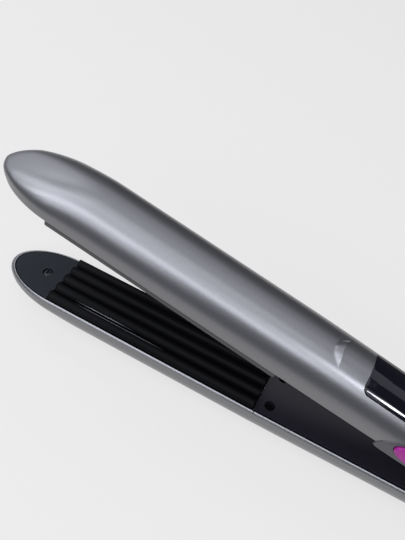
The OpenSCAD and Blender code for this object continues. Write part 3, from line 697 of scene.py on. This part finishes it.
gloss_black = new_finish("gloss_black", (0.0022, 0.0022, 0.0028), 0.1, gloss=0.022)
hairlines = object_noise(gloss_black, 900, 3, (0.03, 1, 1))
add_bump(gloss_black, hairlines, 0.12, 0.00004)
vary(gloss_black, object_noise(gloss_black, 260, 4, (0.2, 1, 1)), "Roughness", 0.07, 0.14)
wall_grey = new_finish("wall_grey", (0.012, 0.012, 0.0135), 0.42)
grain(wall_grey, 3000, 0.15, 0.00004, 2)


def painted_glint_lines(material, lines):
    # Painted highlights: thin bright lines drawn into the colour as streaks of reflected light,
    # each (y, first x, last x, half width)
    fade = 0.012
    tree = material.node_tree
    place = tree.nodes.new("ShaderNodeSeparateXYZ")
    tree.links.new(tree.nodes.new("ShaderNodeTexCoord").outputs["Object"], place.inputs[0])

    def ramp(value, low, high, smooth=False):
        node = tree.nodes.new("ShaderNodeMapRange")
        node.interpolation_type = "SMOOTHSTEP" if smooth else "LINEAR"
        tree.links.new(value, node.inputs["Value"])
        node.inputs["From Min"].default_value = low
        node.inputs["From Max"].default_value = high
        return node.outputs["Result"]

    def combined(operation, first, second):
        node = tree.nodes.new("ShaderNodeMath")
        node.operation = operation
        for socket, value in zip(node.inputs, (first, second)):
            if isinstance(value, float):
                socket.default_value = value
            else:
                tree.links.new(value, socket)
        return node.outputs[0]

    total = 0.0
    for y, first, last, half in lines:
        away = combined("ABSOLUTE", combined("SUBTRACT", place.outputs["Y"], y), 0.0)
        line = ramp(away, half, 0.3 * half)
        line = combined("MULTIPLY", line, ramp(place.outputs["X"], first, first + fade, True))
        line = combined("MULTIPLY", line, ramp(place.outputs["X"], last, last - fade, True))
        total = combined("MAXIMUM", total, line)
    broken = ramp(object_noise(material, 500, 2, (0.25, 0, 0)), 0.38, 0.6)
    broken = combined("ADD", combined("MULTIPLY", broken, 0.7), 0.3)
    return combined("MULTIPLY", total, broken)


lower_gloss = gloss_black.copy()
lower_gloss.name = "lower_gloss_black"
# Two painted highlight streaks on the lower plate's near ribs: a light, metallic colour drawn where
# the lamps' reflections fall
painted_glints = painted_glint_lines(lower_gloss, (
    (-0.0092, -0.038, 0.008, 0.00016), (-0.007, -0.039, -0.008, 0.00018)))
vary(lower_gloss, painted_glints, "Metallic", 0.0, 0.9)
vary(lower_gloss, painted_glints, "Base Color", (0.0022, 0.0022, 0.0028), (0.5, 0.5, 0.52))
dress(ribbed_plate("lower", 1), lower_gloss, "floating_plate", "plate_black", "lower_plate")
upper_plate = ribbed_plate("upper", -1)
dress(upper_plate, gloss_black, "upper_arm", "plate_black", "upper_plate")
upper_plate.data.materials.append(wall_grey)
for face in upper_plate.data.polygons:
    face.material_index = int(abs(face.normal.y) > 0.7 and abs(face.center.y) > plate_width / 2)


# Trimmed parts: pieces whose built form is already right get their mesh cleaned, their edges
# rounded as a mould or a press leaves them, and a finish of their own. The lower cover is
# narrower than its seat, so that a dark groove shows along both its sides.
def trimmed(node, width, limit=35):
    mesh = nodes[node].data.copy()
    bm = bmesh.new()
    bm.from_mesh(mesh)
    bmesh.ops.remove_doubles(bm, verts=bm.verts, dist=2e-6)
    bmesh.ops.dissolve_degenerate(bm, edges=bm.edges, dist=1e-7)
    bmesh.ops.dissolve_limit(bm, angle_limit=math.radians(0.5), verts=bm.verts, edges=bm.edges)
    bm.to_mesh(mesh)
    bm.free()
    shade(mesh, limit, merge=False)
    return round_edges(linked(f"{node}_trimmed", mesh), width, 2, limit)


def trim_and_dress(node, material, slot, width, limit=35):
    dress(trimmed(node, width, limit), material, body_of(nodes[node])[0], slot, node)


satin_dark = new_finish("satin_dark", (0.0095, 0.0085, 0.0125), 0.34, gloss=0.32)
grain(satin_dark, 4200, 0.1, 0.00004, 2)
mottle(satin_dark, 60, 4, "Roughness", 0.3, 0.38)
lower_cover = trimmed("lower_handle_cover", 0.0004)
side_groove = 0.00032
cover_side = 0.0098
for vertex in lower_cover.data.vertices:
    if abs(vertex.co.y) > cover_side:
        vertex.co.y -= math.copysign(side_groove, vertex.co.y)
dress(lower_cover, satin_dark, "lower_arm", "cover_dark", "lower_handle_cover")
trim_and_dress("upper_handle_cover", satin_dark, "cover_dark", 0.0003)


# Control panel: a curved gloss lid let into the back of the upper handle, flush but for a
# quarter of a millimetre, with rounded edges.
panel_front = rear_x + 0.0258
panel_length = 0.076
panel_width = 0.018
panel_corner = 0.0025
panel_proud = 0.00025
panel_floor = 0.0134
panel_round = 0.0003
panel_gap = 0.00012
hollows = ((0.0015, 0.0015), (0.0035, 0.0026))


def rounded_outline(grow):
    r = max(panel_corner + grow, 0.0002)
    x0, x1 = panel_front - grow, panel_front + panel_length + grow
    w = panel_width / 2 + grow
    corners = ((x1 - r, w - r, x0 + r, w, 30), (x0 + r, w - r, x0, -w + r, 8),
               (x0 + r, -w + r, x1 - r, -w, 30), (x1 - r, -w + r, x1, w - r, 8))
    outline = []
    for quarter, (cx, cy, end_x, end_y, straight) in enumerate(corners):
        for i in range(13):
            a = math.radians(90 * quarter + 90 * i / 12)
            outline.append((cx + r * math.cos(a), cy + r * math.sin(a)))
        nx, ny = outline[-1]
        outline += [(nx + (end_x - nx) * k / straight, ny + (end_y - ny) * k / straight)
                    for k in range(1, straight)]
    return outline


def panel_lid():
    rings = [(0.0, None)]
    for a in np.linspace(0, 90, 7):
        t = math.radians(a)
        rings.append((-panel_round * (1 - math.cos(t)), -panel_round * (1 - math.sin(t))))
    rings += [(-inset, 0.0) for inset in np.linspace(0.0005, 0.0082, 20)]
    points = []
    for grow, drop in rings:
        for x, y in rounded_outline(grow):
            depth = panel_floor if drop is None else skin_depth(x, y) + panel_proud + drop
            points.append(on_arm("upper", x, y, depth))
    count = len(rounded_outline(0))
    faces = ring_faces(len(rings), count)
    base, top = (len(rings) - 1) * count, len(rings) * count - 1
    faces += [(base + i, base + i + 1, top - i - 1, top - i) for i in range(count // 2 - 1)]
    faces.append(tuple(range(count - 1, -1, -1)))
    return closed_piece("panel_lid", points, faces, 50)


piano_black = new_finish("piano_black", (0.003, 0.003, 0.006), 0.05, gloss=0.32)
grain(piano_black, 60, 0.02, 0.0001, 2)
mottle(piano_black, 300, 4, "Roughness", 0.035, 0.08)
lid = panel_lid()
cut(lid, *(box_mesh("hollow", "upper", (panel_front + e, panel_front + panel_length - e),
                    (-panel_width / 2 + e, panel_width / 2 - e), (0.012, panel_floor + h))
           for e, h in hollows))
dress(lid, piano_black, "upper_arm", "panel_black", "control_panel")
cut(upper_skin, prism("upper", "opening", rounded_outline(panel_gap), 0.0114, 0.03))


# Power button and its bezel: the bezel is let into the near side of the upper arm and drops
# below its rim. The button stands proud of it, has grip ribs and is pressed inwards.
button_x = rear_x + 0.0552
button_depth = 0.0059
button_length = 0.0166
button_height = 0.0078
button_proud = 0.0007
bezel_length = 0.028
bezel_middle = 0.0012
bezel_top = 0.01
bezel_drop = 0.0021
bezel_proud = 0.0003
bezel_wall = 0.0019
button_gap = 0.00025
grip_radius = 0.0031
grip_pitch = 0.0013
grip_height = 0.00018
bezel_points = 120
bezel_square = 0.6
bezel_fit = 0.0001
sleeve_half = 0.011
sleeve_y = -0.00844
sleeve_depth = 0.0014
sleeve_wall = 0.0008
flange_half = 0.0094
flange_rise = 0.003
wall_widths, wall_depths = arch_point(
    button_x, np.linspace(0, math.radians(70), 200), 0, 0, -1)


def wall_y(depth, out, low=None):
    y = float(np.interp(depth, wall_depths, wall_widths))
    slope = (np.interp(depth + 1e-4, wall_depths, wall_widths) - y) / 1e-4
    y += out * math.sqrt(1 + slope**2)
    if low is not None:
        y -= 0.0006 * unit((low + 0.0009 - depth) / 0.0009) ** 2
    return y


def oval(a, half_length, up, down, square=1.0):
    across, rise = math.cos(a), math.sin(a)
    if rise < 0:
        across = math.copysign(abs(across) ** square, across)
        rise = -abs(rise) ** square
    return half_length * across, (up if rise > 0 else down) * rise


def oval_outline(middle, *sizes):
    ovals = [oval(a, *sizes) for a in full_turn(bezel_points)]
    return [(button_x + u, middle + v) for u, v in ovals]


def bezel_ring():
    outer = oval_outline(bezel_middle, bezel_length / 2, bezel_top, bezel_drop, bezel_square)
    rise = button_height / 2 + button_gap
    hole = oval_outline(button_depth, button_length / 2 + button_gap, rise, rise)
    profile = [(0, -bezel_wall), (0, bezel_proud - 0.0003), (0.012, bezel_proud - 0.0001)]
    profile += [(share, bezel_proud) for share in (0.04, *np.linspace(0.12, 0.88, 9))]
    profile += [(0.95, bezel_proud - 0.00002), (0.985, bezel_proud - 0.0001),
                (1, bezel_proud - 0.0003), (1, -bezel_wall)]
    points = []
    for share, out in profile:
        for (x0, d0), (x1, d1) in zip(outer, hole):
            x, depth = x0 + (x1 - x0) * share, d0 + (d1 - d0) * share
            y = wall_y(depth, out, bezel_middle - bezel_drop)
            points.append(on_arm("upper", x, -y, depth))
    faces = ring_faces(len(profile), bezel_points, closed=True)
    return closed_piece("bezel_ring", points, faces, 40)


def button_dome():
    turns = full_turn(144)
    quarter = np.linspace(0, math.pi / 2, 6)
    shares = [1 - 0.045 * (1 - math.cos(t)) for t in quarter] + list(np.linspace(0.93, 0.03, 30))
    round_off = [0.0006 * (1 - math.sin(t)) for t in quarter] + [0.0] * 30
    half_length, rise = button_length / 2, button_height / 2
    back = wall_y(button_depth, 0) - bezel_wall
    points = []
    for a in turns:
        u, v = oval(a, half_length, rise, rise)
        points.append(on_arm("upper", button_x + u, -back, button_depth + v))
    for share, drop in zip(shares, round_off):
        for a in turns:
            u, v = oval(a, half_length * share, rise * share, rise * share)
            y = wall_y(button_depth + v, bezel_proud + button_proud) - drop
            within = unit((grip_radius - math.hypot(u * 0.65, v)) / 0.0005)
            y += grip_height * within * max(math.cos(2 * math.pi * u / grip_pitch), 0) ** 2
            points.append(on_arm("upper", button_x + u, -y, button_depth + v))
    size = (len(shares) + 1, len(turns))
    return closed_piece("button_dome", points, ring_faces(*size) + end_faces(*size), 50)


opening = oval_outline(bezel_middle, bezel_length / 2 + bezel_fit, bezel_top + bezel_fit,
                       bezel_drop + bezel_fit)
opening_y = (-arm_width, -half_width(button_x) + 0.0032)
points = [on_arm("upper", x, y, d) for y in opening_y for x, d in opening]
faces = end_faces(2, bezel_points) + ring_faces(2, bezel_points)
cut(upper_skin, closed_piece("opening", points, faces, 25))

bezel_finish = silver_lacquer("bezel_lacquer", (0.107, 0.102, 0.111), 0.36)
dress(bezel_ring(), bezel_finish, "upper_arm", "bezel_silver", "button_bezel")
inner = half_width(button_x) - bezel_wall
sleeve = box_mesh("button_sleeve", "upper", (button_x - sleeve_half, button_x + sleeve_half),
                  (-inner - 0.0002, sleeve_y), (sleeve_depth, cover_back))
sleeve_x = (button_x - sleeve_half + 0.001, button_x + sleeve_half - 0.001)
cut(sleeve, box_mesh("hollow", "upper", sleeve_x, (-inner - 0.001, sleeve_y - sleeve_wall),
                     (sleeve_depth + sleeve_wall, 0.02)))
dress(round_edges(sleeve, 0.0002), bezel_finish, "upper_arm", "bezel_silver")

magenta = new_finish("magenta", (0.25, 0.009, 0.175), 0.3, gloss=0.25)
grain(magenta, 2400, 0.08, 0.00004)
mottle(magenta, 500, 3, "Base Color", (0.225, 0.006, 0.155), (0.275, 0.012, 0.195))
dress(button_dome(), magenta, "power_button", "button_magenta", "power_button")
flange = box_mesh("flange", "upper", (button_x - flange_half, button_x + flange_half),
                  (-inner + 0.0002, -inner + 0.001),
                  (button_depth - flange_rise, button_depth + flange_rise))
dress(round_edges(flange, 0.0002), magenta, "power_button", "button_magenta")


# Hinge: the lower arm's knuckle block turns between the two ears of the upper arm's yoke on
# two steel pins, which are pressed into the ears and hidden by satin caps. Block and yoke are
# dark moulded nylon.
hinge_nylon = new_finish("hinge_nylon", (0.022, 0.024, 0.028), 0.48)
grain(hinge_nylon, 3000, 0.15, 0.00005)
mottle(hinge_nylon, 120, 4, "Roughness", 0.42, 0.56)
cap_satin = new_finish("cap_satin", (0.05, 0.05, 0.055), 0.35)
grain(cap_satin, 2000, 0.1, 0.00004)
steel = new_finish("steel", (0.56, 0.57, 0.58), 0.28, metallic=1.0)
grain(steel, 1500, 0.1, 0.00003, 2, (1, 0.05, 1))
mottle(steel, 400, 3, "Roughness", 0.22, 0.36)
for node in ("lower_hinge_block", "upper_hinge_yoke"):
    trim_and_dress(node, hinge_nylon, "hinge_dark", 0.00025, 30)
trim_and_dress("hinge_pins", steel, "steel_bright", 0.0003, 30)
trim_and_dress("hinge_caps", cap_satin, "cap_dark", 0.0002, 30)


# Cord swivel: a rubbery black bush that slips into the rear of the knuckle and turns there. A
# steel ring clip in its groove keeps it in.
bush_rubber = new_finish("bush_rubber", (0.012, 0.012, 0.013), 0.55)
grain(bush_rubber, 1600, 0.3, 0.00005)
mottle(bush_rubber, 150, 4, "Roughness", 0.5, 0.65)
trim_and_dress("cord_swivel", bush_rubber, "bush_black", 0.0003, 30)
trim_and_dress("swivel_clip", steel, "steel_bright", 0.0001, 30)


# Inside the arms: ceramic heaters on mica in folded aluminium trays, the thermal fuse and the
# temperature sensor, the fixed posts of the upper plate and the sleeved leads.
ceramic = new_finish("ceramic", (0.55, 0.47, 0.33), 0.6)
grain(ceramic, 1200, 0.3, 0.00006)
aluminium = new_finish("aluminium", (0.62, 0.63, 0.64), 0.36, metallic=1.0)
grain(aluminium, 900, 0.2, 0.00004, 3, (0.05, 1, 1))
mica = new_finish("mica", (0.42, 0.32, 0.2), 0.5)
mottle(mica, 500, 6, "Base Color", (0.36, 0.26, 0.15), (0.5, 0.4, 0.27))
post_white = new_finish("post_white", (0.7, 0.69, 0.65), 0.5)
grain(post_white, 1500, 0.2, 0.00004)
lead_sleeve = new_finish("lead_sleeve", (0.66, 0.65, 0.61), 0.6)
grain(lead_sleeve, 2500, 0.4, 0.00006, 2, (0.4, 1, 1))
fuse_tin = new_finish("fuse_tin", (0.5, 0.5, 0.5), 0.3, metallic=1.0)
grain(fuse_tin, 1300, 0.15, 0.00003)
sensor_bead = new_finish("sensor_bead", (0.55, 0.17, 0.04), 0.2)
grain(sensor_bead, 1300, 0.15, 0.00003)
for arm in ("lower", "upper"):
    trim_and_dress(f"{arm}_heater", ceramic, "heater_ceramic", 0.0002)
    trim_and_dress(f"{arm}_heater_tray", aluminium, "tray_aluminium", 0.0002)
    trim_and_dress(f"{arm}_insulator", mica, "insulator_mica", 0.00015)
    trim_and_dress(f"{arm}_leads", lead_sleeve, "lead_white", 0.0001)
trim_and_dress("upper_plate_posts", post_white, "post_ceramic", 0.0002)
trim_and_dress("lower_thermal_fuse", fuse_tin, "fuse_metal", 0.0003)
trim_and_dress("upper_temperature_sensor", sensor_bead, "sensor_glass", 0.0001)


# Control board under the panel: a green board with its capacitor, triac, controller and
# indicator lamp, and the push switch that the power button works.
board_green = new_finish("solder_mask", (0.02, 0.13, 0.045), 0.35, coat=0.3)
mottle(board_green, 700, 5, "Base Color", (0.015, 0.11, 0.035), (0.03, 0.16, 0.06))
can_blue = new_finish("can_blue", (0.02, 0.035, 0.14), 0.3)
grain(can_blue, 1300, 0.1, 0.00003)
chip = new_finish("chip", (0.013, 0.013, 0.014), 0.55)
grain(chip, 3000, 0.2, 0.00003)
lamp_red = new_finish("lamp_red", (0.5, 0.02, 0.015), 0.15)
grain(lamp_red, 800, 0.05, 0.00003)
trim_and_dress("control_board", board_green, "board_green", 0.00015)
trim_and_dress("board_capacitor", can_blue, "capacitor_blue", 0.0003)
trim_and_dress("board_triac", chip, "chip_black", 0.00015)
trim_and_dress("board_controller", chip, "chip_black", 0.00012)
trim_and_dress("indicator_led", lamp_red, "led_red", 0.0001)
trim_and_dress("push_switch", chip, "chip_black", 0.00015)


# Screws: dark steel, one at each nose, two under the front holes of each cover and two at its
# rear. Domed heads with a cross recess grow on points, each with the length of its shank.
def new_tree(name, inputs):
    tree = bpy.data.node_groups.new(name, "GeometryNodeTree")
    tree.interface.new_socket("Geometry", in_out="INPUT", socket_type="NodeSocketGeometry")
    tree.interface.new_socket("Geometry", in_out="OUTPUT", socket_type="NodeSocketGeometry")
    for title, kind in inputs:
        tree.interface.new_socket(title, in_out="INPUT", socket_type=f"NodeSocket{kind}")
    return tree, tree.nodes.new("NodeGroupInput"), tree.nodes.new("NodeGroupOutput")


def add_node(tree, kind, links=(), values=()):
    node = tree.nodes.new(kind)
    for title, source in dict(links).items():
        tree.links.new(source, node.inputs[title])
    for title, value in dict(values).items():
        node.inputs[title].default_value = value
    return node


def finish_tree(tree, start, end, geometry):
    real = add_node(tree, "GeometryNodeRealizeInstances", {"Geometry": geometry})
    paint = add_node(tree, "GeometryNodeSetMaterial", {
        "Geometry": real.outputs[0], "Material": start.outputs["Material"]})
    tree.links.new(paint.outputs[0], end.inputs["Geometry"])
    return tree


def placed(tree, start, shape, scale=None):
    turn = add_node(tree, "FunctionNodeEulerToRotation", {"Euler": start.outputs["Turn"]})
    node = add_node(tree, "GeometryNodeInstanceOnPoints", {
        "Points": start.outputs["Geometry"], "Instance": shape, "Rotation": turn.outputs[0]})
    if scale is not None:
        tree.links.new(scale, node.inputs["Scale"])
    return node.outputs[0]


def screw_tree():
    tree, start, end = new_tree("screws", (
        ("Head radius", "Float"), ("Head height", "Float"), ("Dome radius", "Float"),
        ("Shank radius", "Float"), ("Recess length", "Float"), ("Recess width", "Float"),
        ("Turn", "Vector"), ("Material", "Material")))
    g = start.outputs

    def part(height, share):
        node = add_node(tree, "ShaderNodeMath", {0: g[height]}, {1: share})
        node.operation = "MULTIPLY"
        return node.outputs[0]

    def upward(value):
        return add_node(tree, "ShaderNodeCombineXYZ", {"Z": value}).outputs[0]

    body = add_node(tree, "GeometryNodeMeshCone", {
        "Radius Top": g["Head radius"], "Radius Bottom": g["Head radius"],
        "Depth": part("Head height", 1.1)}, {"Vertices": 48})
    ball = add_node(tree, "GeometryNodeMeshUVSphere", {"Radius": g["Dome radius"]},
                    {"Segments": 90, "Rings": 60})
    drop = add_node(tree, "ShaderNodeMath", {0: g["Head height"], 1: g["Dome radius"]})
    drop.operation = "SUBTRACT"
    lowered = add_node(tree, "GeometryNodeTransform", {
        "Geometry": ball.outputs["Mesh"], "Translation": upward(drop.outputs[0])})
    blank = tree.nodes.new("GeometryNodeMeshBoolean")
    blank.operation = "INTERSECT"
    blank.solver = "EXACT"
    for half in (lowered.outputs[0], body.outputs["Mesh"]):
        tree.links.new(half, blank.inputs["Mesh 2"])
    bar_size = add_node(tree, "ShaderNodeCombineXYZ", {
        "X": g["Recess length"], "Y": g["Recess width"], "Z": part("Head height", 1.7)})
    bar = add_node(tree, "GeometryNodeMeshCube", {"Size": bar_size.outputs[0]})
    recess = add_node(tree, "GeometryNodeMeshBoolean", {"Mesh 1": blank.outputs[0]})
    recess.solver = "EXACT"
    for angle in (30, 120):
        turned = add_node(tree, "GeometryNodeTransform", {
            "Geometry": bar.outputs["Mesh"], "Translation": upward(g["Head height"])},
            {"Rotation": (0, 0, math.radians(angle))})
        tree.links.new(turned.outputs[0], recess.inputs["Mesh 2"])
    shank = add_node(tree, "GeometryNodeMeshCone", {
        "Radius Top": g["Shank radius"], "Radius Bottom": g["Shank radius"]},
        {"Vertices": 32, "Depth": 1.0})
    below = add_node(tree, "GeometryNodeTransform", {"Geometry": shank.outputs["Mesh"]},
                     {"Translation": (0, 0, -1)})
    length = add_node(tree, "GeometryNodeInputNamedAttribute", (), {"Name": "shank"})
    stretch = add_node(tree, "ShaderNodeCombineXYZ", {"Z": length.outputs[0]}, {"X": 1.0, "Y": 1.0})
    both = add_node(tree, "GeometryNodeJoinGeometry", {
        "Geometry": placed(tree, start, recess.outputs[0])})
    shanks = placed(tree, start, below.outputs[0], stretch.outputs[0])
    tree.links.new(shanks, both.inputs["Geometry"])
    return finish_tree(tree, start, end, both.outputs[0])


def grown(name, points, tree, values, shanks=None):
    mesh = bpy.data.meshes.new(name)
    mesh.from_pydata(points, [], [])
    if shanks:
        mesh.attributes.new("shank", "FLOAT", "POINT").data.foreach_set("value", shanks)
    piece = linked(name, mesh)
    modifier = piece.modifiers.new("grow", "NODES")
    modifier.node_group = tree
    for item in tree.interface.items_tree:
        if item.in_out == "INPUT" and item.name in values:
            modifier[item.identifier] = values[item.name]
    baked(piece)
    shade(piece.data, 30)
    return piece


screw_steel = new_finish("screw_steel", (0.03, 0.031, 0.033), 0.42, metallic=0.7)
grain(screw_steel, 2600, 0.2, 0.00003)
mottle(screw_steel, 900, 4, "Roughness", 0.38, 0.52)
screws = screw_tree()
for arm, turn in (("lower", (0, 0, 0)), ("upper", (0, math.pi + open_angle, 0))):
    seats = [on_arm(arm, x, y, seat) for x, y, seat, _ in screw_places]
    piece = grown(f"{arm}_cross_screws", seats, screws, {
        "Head radius": 0.0019, "Head height": 0.0014, "Dome radius": 0.0039,
        "Shank radius": 0.0009, "Turn": turn,
        "Recess length": 0.0025, "Recess width": 0.0009, "Material": screw_steel,
    }, [p[3] for p in screw_places])
    dress(piece, screw_steel, f"{arm}_arm", "steel_dark", f"{arm}_screws")


# Springs: two wire compression springs under the lower plate's tray, and a torsion spring in
# each side of the knuckle that opens the arms.
def coil_tree():
    tree, start, end = new_tree("coils", (
        ("Turns", "Float"), ("Coil radius", "Float"), ("Wire radius", "Float"),
        ("Height", "Float"), ("Turn", "Vector"), ("Material", "Material")))
    g = start.outputs
    spiral = add_node(tree, "GeometryNodeCurveSpiral", {
        "Rotations": g["Turns"], "Start Radius": g["Coil radius"],
        "End Radius": g["Coil radius"], "Height": g["Height"]}, {"Resolution": 40})
    ring = add_node(tree, "GeometryNodeCurvePrimitiveCircle", {"Radius": g["Wire radius"]},
                    {"Resolution": 14})
    wire = add_node(tree, "GeometryNodeCurveToMesh", {
        "Curve": spiral.outputs[0], "Profile Curve": ring.outputs[0]}, {"Fill Caps": True})
    return finish_tree(tree, start, end, placed(tree, start, wire.outputs[0]))


coils = coil_tree()
spring_base = rest_height - seat_top
spring_lift = 0.00037
seats = [(s * seat_x, 0, spring_base + spring_lift) for s in (-1, 1)]
plate_springs = grown("plate_springs", seats, coils, {
    "Turns": 4.0, "Coil radius": 0.00255, "Wire radius": 0.00033, "Height": 0.00266,
    "Turn": (0, 0, 0), "Material": steel})
dress(plate_springs, steel, body_of(nodes["lower_plate_springs"])[0], "steel_bright",
      "lower_plate_springs")
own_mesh(plate_springs)
seats = [(hinge_x, y, rest_height) for y in (-0.0065, 0.0051)]
turning_springs = grown("turning_springs", seats, coils, {
    "Turns": 2.2, "Coil radius": 0.0047, "Wire radius": 0.0006, "Height": 0.0014,
    "Turn": (-math.pi / 2, 0, 0), "Material": steel})
dress(turning_springs, steel, "lower_arm", "steel_bright", "torsion_springs")


# Studio: a pale sheet under the object on a dim grey table, in a dim room. Seven wide soft lamps
# draw the shells' long highlights, and one small bright lamp draws the panel's white line.
sheet_colour = (0.785, 0.781, 0.776)
room_colour = (0.105, 0.105, 0.11)
lamp_colour = (0.95, 0.975, 1.06)
lamp_aim = Vector((0.05, 0, 0.04))

world = bpy.data.worlds.new("room")
bpy.context.scene.world = world
world.use_nodes = True
world.node_tree.nodes["Background"].inputs["Color"].default_value = (*room_colour, 1)


def floor_finish(name, colour, share):
    # Matt, and to the camera, in gloss and through glass partly as bright as its own colour
    paint = new_finish(name, colour, 0.9, gloss=0)
    tree = paint.node_tree
    lit = add_node(tree, "ShaderNodeEmission", (), {"Color": (*colour, 1)})
    path = tree.nodes.new("ShaderNodeLightPath")
    seen = path.outputs["Is Camera Ray"]
    for ray in ("Is Glossy Ray", "Is Transmission Ray"):
        either = add_node(tree, "ShaderNodeMath", {0: seen, 1: path.outputs[ray]})
        either.operation = "MAXIMUM"
        seen = either.outputs[0]
    part = add_node(tree, "ShaderNodeMath", {0: seen}, {1: share})
    part.operation = "MULTIPLY"
    matt = tree.nodes["Principled BSDF"]
    mix = add_node(tree, "ShaderNodeMixShader", {
        0: part.outputs[0], 1: matt.outputs[0], 2: lit.outputs[0]})
    tree.links.new(mix.outputs[0], tree.nodes["Material Output"].inputs["Surface"])
    return paint


def flat_stage(name, x, y, z, paint):
    mesh = bpy.data.meshes.new(name)
    corners = [(x[0], y[0], z), (x[1], y[0], z), (x[1], y[1], z), (x[0], y[1], z)]
    mesh.from_pydata(corners, [], [(0, 1, 2, 3)])
    mesh.materials.append(paint)
    surface = linked(name, mesh)


def softbox(name, azimuth, elevation, distance, width, height, radiance):
    toward = direction(azimuth, elevation)
    lamp = bpy.data.lights.new(name, "AREA")
    lamp.shape = "RECTANGLE"
    lamp.size = width
    lamp.size_y = height
    lamp.energy = radiance * width * height * math.pi
    lamp.color = lamp_colour
    box = linked(name, lamp)
    box.location = lamp_aim + toward * distance
    box.rotation_euler = (-toward).to_track_quat("-Z", "Y").to_euler()


flat_stage("sheet", (-0.6, 0.8), (-0.13, 0.62), 0, floor_finish("sheet_paper", sheet_colour, 0.85))
flat_stage("table", (-3, 3), (-3, 3), -0.002, floor_finish("table_top", room_colour, 0.0))
softbox("window", -10, 37, 1.1, 1.6, 0.36, 4.1)
softbox("glint", 48, 44, 1.0, 0.09, 0.085, 70)
softbox("flash", -22, 19, 1.0, 0.5, 0.34, 2.5)
softbox("overhead", -15, 62, 1.1, 1.8, 0.45, 2.0)
softbox("zenith", 0, 87, 1.1, 1.3, 0.55, 1.85)
softbox("far_top", 180, 62, 1.1, 2.2, 0.5, 1.1)
softbox("nose", -64, 36, 1.0, 0.75, 0.6, 1.6)
softbox("nose_end", -110, 31, 1.0, 0.9, 0.8, 1.2)
bpy.context.scene.view_settings.view_transform = "Standard"
